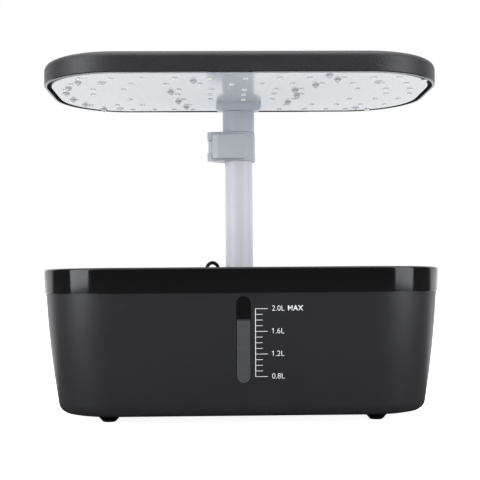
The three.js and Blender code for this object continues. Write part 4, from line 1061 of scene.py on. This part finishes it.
class GARDEN_OT_light_board(bpy.types.Operator):
    """Model the light board with its rows of chips and milky domes"""
    bl_idname = "garden.light_board"
    bl_label = "Light Board"

    def board(self):
        low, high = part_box("light_board")
        board = rounded_slab("light_board_lacquered", (0, 0, BOARD_FACE * MM), high - low,
                             BOARD_CORNER * MM, (BOARD_BACK - BOARD_FACE) * MM)
        holes = [middle_of(node) for node in BOARD_SCREWS]
        holes += [Vector(place) for place in BRACKET_SCREW_HOLES]
        for place in holes:
            cut(board, rod("hole", SCREW_HOLE, *HOLE_HEIGHTS, place))
        low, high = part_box("lamp_bracket")
        reach, back = high.x / MM + BRACKET_GAP, high.y / MM + BRACKET_GAP
        seat = block("seat", (-reach, low.y / MM - BRACKET_GAP, BOARD_FACE - 5),
                     (reach, back, high.z / MM + BRACKET_GAP))
        round_edges(seat, lambda a, b: abs(a.z - b.z) > 0.001, BRACKET_CORNER * MM, 8)
        cut(board, seat)
        ease(board, 0.00015, 2, 50)
        board.data.materials.append(finish_named("board_white"))
        smooth(board)
        return board

    def terminal(self):
        """The block behind the board that the lamp's lead is held in."""
        reach, middle = TERMINAL_REACH, TERMINAL_MIDDLE
        terminal = block("terminal", (-reach, middle - reach, BOARD_BACK),
                         (reach, middle + reach, TERMINAL_TOP))
        ease(terminal, 0.0004, 2)
        terminal.data.materials.append(finish_named("chip_body"))
        return terminal

    def chip(self, lights):
        """A light chip with its sunk yellow window."""
        half_x, half_y = lights.chip_length / 2 / MM, lights.chip_width / 2 / MM
        face_down = BOARD_FACE - lights.chip_height / MM
        chip = block("chip", (-half_x, -half_y, face_down), (half_x, half_y, BOARD_FACE - 0.02))
        ease(chip, 0.00012, 1, 60)
        edit_some(chip, "FACE", lambda face: face.normal.z < FACES_DOWN)
        bpy.ops.mesh.inset(thickness=CHIP_FRAME)
        bpy.ops.mesh.inset(thickness=CHIP_WINDOW_SLOPE, depth=-CHIP_WINDOW_DEPTH)
        leave_edit()
        chip.data.materials.append(finish_named("chip_body"))
        chip.data.materials.append(finish_named("chip_phosphor"))
        limit_x, limit_y = half_x * MM - CHIP_WINDOW_EDGE, half_y * MM - CHIP_WINDOW_EDGE
        for face in chip.data.polygons:
            inside = abs(face.center.x) < limit_x and abs(face.center.y) < limit_y
            face.material_index = 1 if face.normal.z < FACES_DOWN and inside else 0
        return chip

    def dome(self, lights):
        """A light chip's die under a milky dome, in a thin rim."""
        base = BOARD_FACE
        radius = lights.dome_radius / MM
        wide, narrow = radius - 0.25, base - 0.55
        arc = [(max(0.12, wide * cos(radians(angle))), narrow - 0.85 * radius * sin(radians(angle)))
               for angle in (15, 30, 45, 60, 75, 87)]
        rim = turned("dome_rim", (
            (radius + 0.25, base - 0.02), (radius + 0.25, base - 0.35), (radius + 0.1, base - 0.5),
            (radius - 0.2, base - 0.5), (radius - 0.35, base - 0.2), (radius - 0.35, base - 0.02),
            (radius + 0.25, base - 0.02),
        ), steps=24, closed=True)
        die = block("die", (-0.75, -0.75, base - 0.28), (0.75, 0.75, base - 0.02))
        ease(die, 0.0001, 1)
        shell = turned("dome_shell", ((radius - 0.45, base - 0.32), (wide, narrow), *arc), steps=24)
        for piece, finish in ((rim, "chip_rim"), (die, "chip_phosphor"), (shell, "chip_dome")):
            piece.data.materials.append(finish_named(finish))
            smooth(piece, 40)
        return joined([rim, die, shell], "dome")

    def spread(self, piece, places, name):
        """Sets a copy at each place, joins them to one piece and drops the first one."""
        copies = [like(piece, piece.name, (x * MM, y * MM, 0)) for x, y in places]
        bpy.data.objects.remove(piece)
        return joined(copies, name)

    def execute(self, context):
        lights = context.scene.garden_lights
        dress(self.board(), None, "board_white", "lamp", "light_board")
        dress(self.terminal(), None, "board_white", "lamp")
        chip_places = [(x, y) for y, places in CHIP_ROWS for x in places]
        chips = self.spread(self.chip(lights), chip_places, "light_chips")
        dress(chips, None, "board_white", "lamp")
        domes = self.spread(self.dome(lights), DOME_PLACES, "clear_domes")
        dress(domes, None, "smoked_clear", "lamp")
        return {"FINISHED"}


COVER_SCREWS = ("cover_screw_1", "cover_screw_2", "cover_screw_3", "cover_screw_4")
BRACKET_SCREWS = ("bracket_screw_1", "bracket_screw_2")
HEAD_HEIGHT = 1.5
LONG_SHANK = 8.0
RECESS = (1.75, 0.32)


class GARDEN_OT_screws(bpy.types.Operator):
    """Model one cross-head screw and set it wherever the garden is screwed together"""
    bl_idname = "garden.screws"
    bl_label = "Screws"

    def screw(self, length):
        """A pan head below the seat at height 0, with its shank above."""
        piece = turned("screw", (
            (0.9, -HEAD_HEIGHT), (1.7, -1.42), (2.4, -1.2), (2.9, -0.85), (3.15, -0.4), (3.2, 0.0),
            (1.5, 0.0), (1.5, length - 0.6), (0.9, length),
        ), steps=40)
        long, short = RECESS
        cross = block("cross", (-long, -short, -1.7), (long, short, -0.55))
        cut(cross, block("arm", (-short, -long, -1.7), (short, long, -0.55)), "UNION")
        cut(piece, cross)
        ease(piece, 0.00006, 1, 40)
        smooth(piece, 40)
        return piece

    def execute(self, context):
        screw = self.screw(LONG_SHANK)
        set_copies(screw, BOARD_SCREWS, "painted_screw", "steel", HEAD_HEIGHT * MM)
        set_copies(screw, COVER_SCREWS, "steel", "steel", HEAD_HEIGHT * MM)
        bpy.data.objects.remove(screw)
        low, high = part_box(BRACKET_SCREWS[0])
        shank = (high.z - low.z) / MM - HEAD_HEIGHT
        screw = self.screw(shank)
        screw.data.transform(Matrix.Rotation(pi, 4, "X"))
        set_copies(screw, BRACKET_SCREWS, "steel", "steel", shank * MM)
        bpy.data.objects.remove(screw)
        return {"FINISHED"}


# Studio

FLOOR_SIZE = 30
FLOOR_DROP = 0.0002
PAPER_WHITE = 0.92
BACK_BEGINS, BACK_FULL = 0.38, 0.52


class GARDEN_OT_stage(bpy.types.Operator):
    """Set up the floor, the soft lights, the room and the camera"""
    bl_idname = "garden.stage"
    bl_label = "Studio"

    def camera(self, stage):
        data = bpy.data.cameras.new("camera")
        data.sensor_fit = "HORIZONTAL"
        data.sensor_width = 36
        data.lens = stage.lens
        data.clip_start = 0.01
        data.clip_end = 100
        camera = add_object("camera", data)
        camera.location = stage.camera_place
        side, tilt, roll = stage.camera_turn
        turn = Matrix.Rotation(side, 3, "Z") @ Matrix.Rotation(pi / 2 + tilt, 3, "X")
        camera.rotation_euler = (turn @ Matrix.Rotation(-roll, 3, "Z")).to_euler()
        bpy.context.scene.camera = camera

    def room(self, stage):
        """Even light for matt faces; for polished ones white behind the garden and a dim room in front."""
        world = bpy.data.worlds.new("studio_room")
        bpy.context.scene.world = world
        world.use_nodes = True
        world.cycles.sampling_method = "NONE"
        tree = world.node_tree
        rays = add_node(tree, "LightPath").outputs
        axes = split(tree, add_node(tree, "TexCoord").outputs["Generated"])
        white = mapped(tree, axes["Y"], BACK_BEGINS, BACK_FULL, stage.front_gloss, 1.0)
        sky = mapped(tree, axes["Z"], 0.40, 0.80, 0.0, stage.sky_gloss)
        shown = combined(tree, "MAXIMUM", white, sky)
        soft = mapped(tree, axes["Y"], -0.95, -0.35, stage.world_light * 0.55, stage.world_light * 1.15)
        seen = mixed(tree, mirrored_rays(tree, rays), soft, shown)
        feed(tree, tree.nodes["Background"], {
            "Strength": mixed(tree, rays["Is Camera Ray"], seen, 1.0), "Color": (1, 1, 1, 1)})

    def floor(self):
        """Pale paper that keeps the garden's shadow, dim in front and glowing behind in polished faces."""
        floor = plate("floor", (0, 0, -FLOOR_DROP), (FLOOR_SIZE, FLOOR_SIZE))
        tree, place, surface = blank_finish("floor_paper")
        tree.nodes.remove(surface)
        finish = bpy.data.materials["floor_paper"]
        finish.cycles.emission_sampling = "NONE"
        tone = ramp(tree, noise(tree, place, 300.0), 0.3, 0.7, (0.79, 0.79, 0.79), (0.81, 0.81, 0.81))
        rays = add_node(tree, "LightPath").outputs
        way = add_node(tree, "VectorMath", {0: place}, operation="NORMALIZE")
        back = split(tree, way.outputs["Vector"])["Y"]
        in_front = mapped(tree, back, BACK_BEGINS, BACK_FULL, 0.88, 0.0)
        dimmed = combined(tree, "MULTIPLY", rays["Is Glossy Ray"], in_front)
        white = add_node(tree, "BsdfDiffuse", {"Color": tone})
        dark = add_node(tree, "BsdfDiffuse", {"Color": (0.02, 0.02, 0.02, 1)})
        matt = add_node(tree, "MixShader", {0: dimmed, 1: white.outputs[0], 2: dark.outputs[0]})
        behind = mapped(tree, back, BACK_BEGINS, BACK_FULL, 0.0, 0.30)
        shown = combined(tree, "MULTIPLY", mirrored_rays(tree, rays), behind)
        paper = combined(tree, "MULTIPLY", rays["Is Camera Ray"], PAPER_WHITE)
        glow = add_node(tree, "Emission", {"Strength": combined(tree, "ADD", paper, shown)})
        both = add_node(tree, "AddShader", {0: matt.outputs[0], 1: glow.outputs[0]})
        feed(tree, tree.nodes["Material Output"], {"Surface": both.outputs[0]})
        floor.data.materials.append(finish)

    def soft_light(self, name, place, aim, size, power, tint):
        data = bpy.data.lights.new(name, "AREA")
        data.shape = "RECTANGLE"
        data.size, data.size_y = size
        data.energy = power
        data.color = tint
        light = add_object(name, data)
        light.location = place
        light.rotation_euler = (Vector(aim) - Vector(place)).to_track_quat("-Z", "Y").to_euler()
        light.visible_camera = False

    def execute(self, context):
        stage = context.scene.garden_stage
        self.camera(stage)
        self.room(stage)
        self.floor()
        self.soft_light("top_softbox", (0, -0.1, 1.3), (0, 0, 0.1), (1.4, 0.9), stage.top_light, (1, 1, 1))
        for name, side, power in (
            ("left_softbox", -1.07, stage.left_light), ("right_softbox", 1.07, stage.right_light),
        ):
            self.soft_light(name, (side, -0.64, 0.42), (0, 0, 0.12), (0.69, 0.9), power, stage.side_tint)
        context.scene.view_settings.view_transform = "Standard"
        return {"FINISHED"}


class GARDEN_PT_panel(bpy.types.Panel):
    """Lists the garden's pieces and the sizes and colours behind them"""
    bl_idname = "GARDEN_PT_panel"
    bl_label = "Hydroponic Garden"
    bl_space_type = "VIEW_3D"
    bl_region_type = "UI"
    bl_category = "Garden"

    def draw(self, context):
        column = self.layout.column(align=True)
        for operator in OPERATORS:
            column.operator(operator.bl_idname)
        for holder, kind in SETTINGS:
            box = self.layout.box()
            for name in kind.__annotations__:
                box.prop(getattr(context.scene, holder), name)


SETTINGS = (
    ("garden_finishes", GardenFinishSettings),
    ("garden_scale", GardenScaleSettings),
    ("garden_lights", GardenLightSettings),
    ("garden_stage", GardenStageSettings),
)
OPERATORS = (
    GARDEN_OT_stage, GARDEN_OT_tank, GARDEN_OT_scale, GARDEN_OT_deck, GARDEN_OT_baskets, GARDEN_OT_controls,
    GARDEN_OT_pump, GARDEN_OT_pole, GARDEN_OT_clamp, GARDEN_OT_lamp, GARDEN_OT_light_board, GARDEN_OT_screws,
)


def register():
    for name, group in SETTINGS:
        bpy.utils.register_class(group)
        setattr(bpy.types.Scene, name, PointerProperty(type=group))
    for kind in (*OPERATORS, GARDEN_PT_panel):
        bpy.utils.register_class(kind)


def unregister():
    for kind in (GARDEN_PT_panel, *reversed(OPERATORS)):
        bpy.utils.unregister_class(kind)
    for name, group in reversed(SETTINGS):
        delattr(bpy.types.Scene, name)
        bpy.utils.unregister_class(group)


def main():
    register()
    bpy.ops.garden.stage()
    bpy.ops.garden.tank()
    bpy.ops.garden.scale()
    bpy.ops.garden.deck()
    bpy.ops.garden.baskets()
    bpy.ops.garden.controls()
    bpy.ops.garden.pump()
    bpy.ops.garden.pole()
    bpy.ops.garden.clamp()
    bpy.ops.garden.lamp()
    bpy.ops.garden.light_board()
    bpy.ops.garden.screws()


if __name__ == "__main__":
    main()
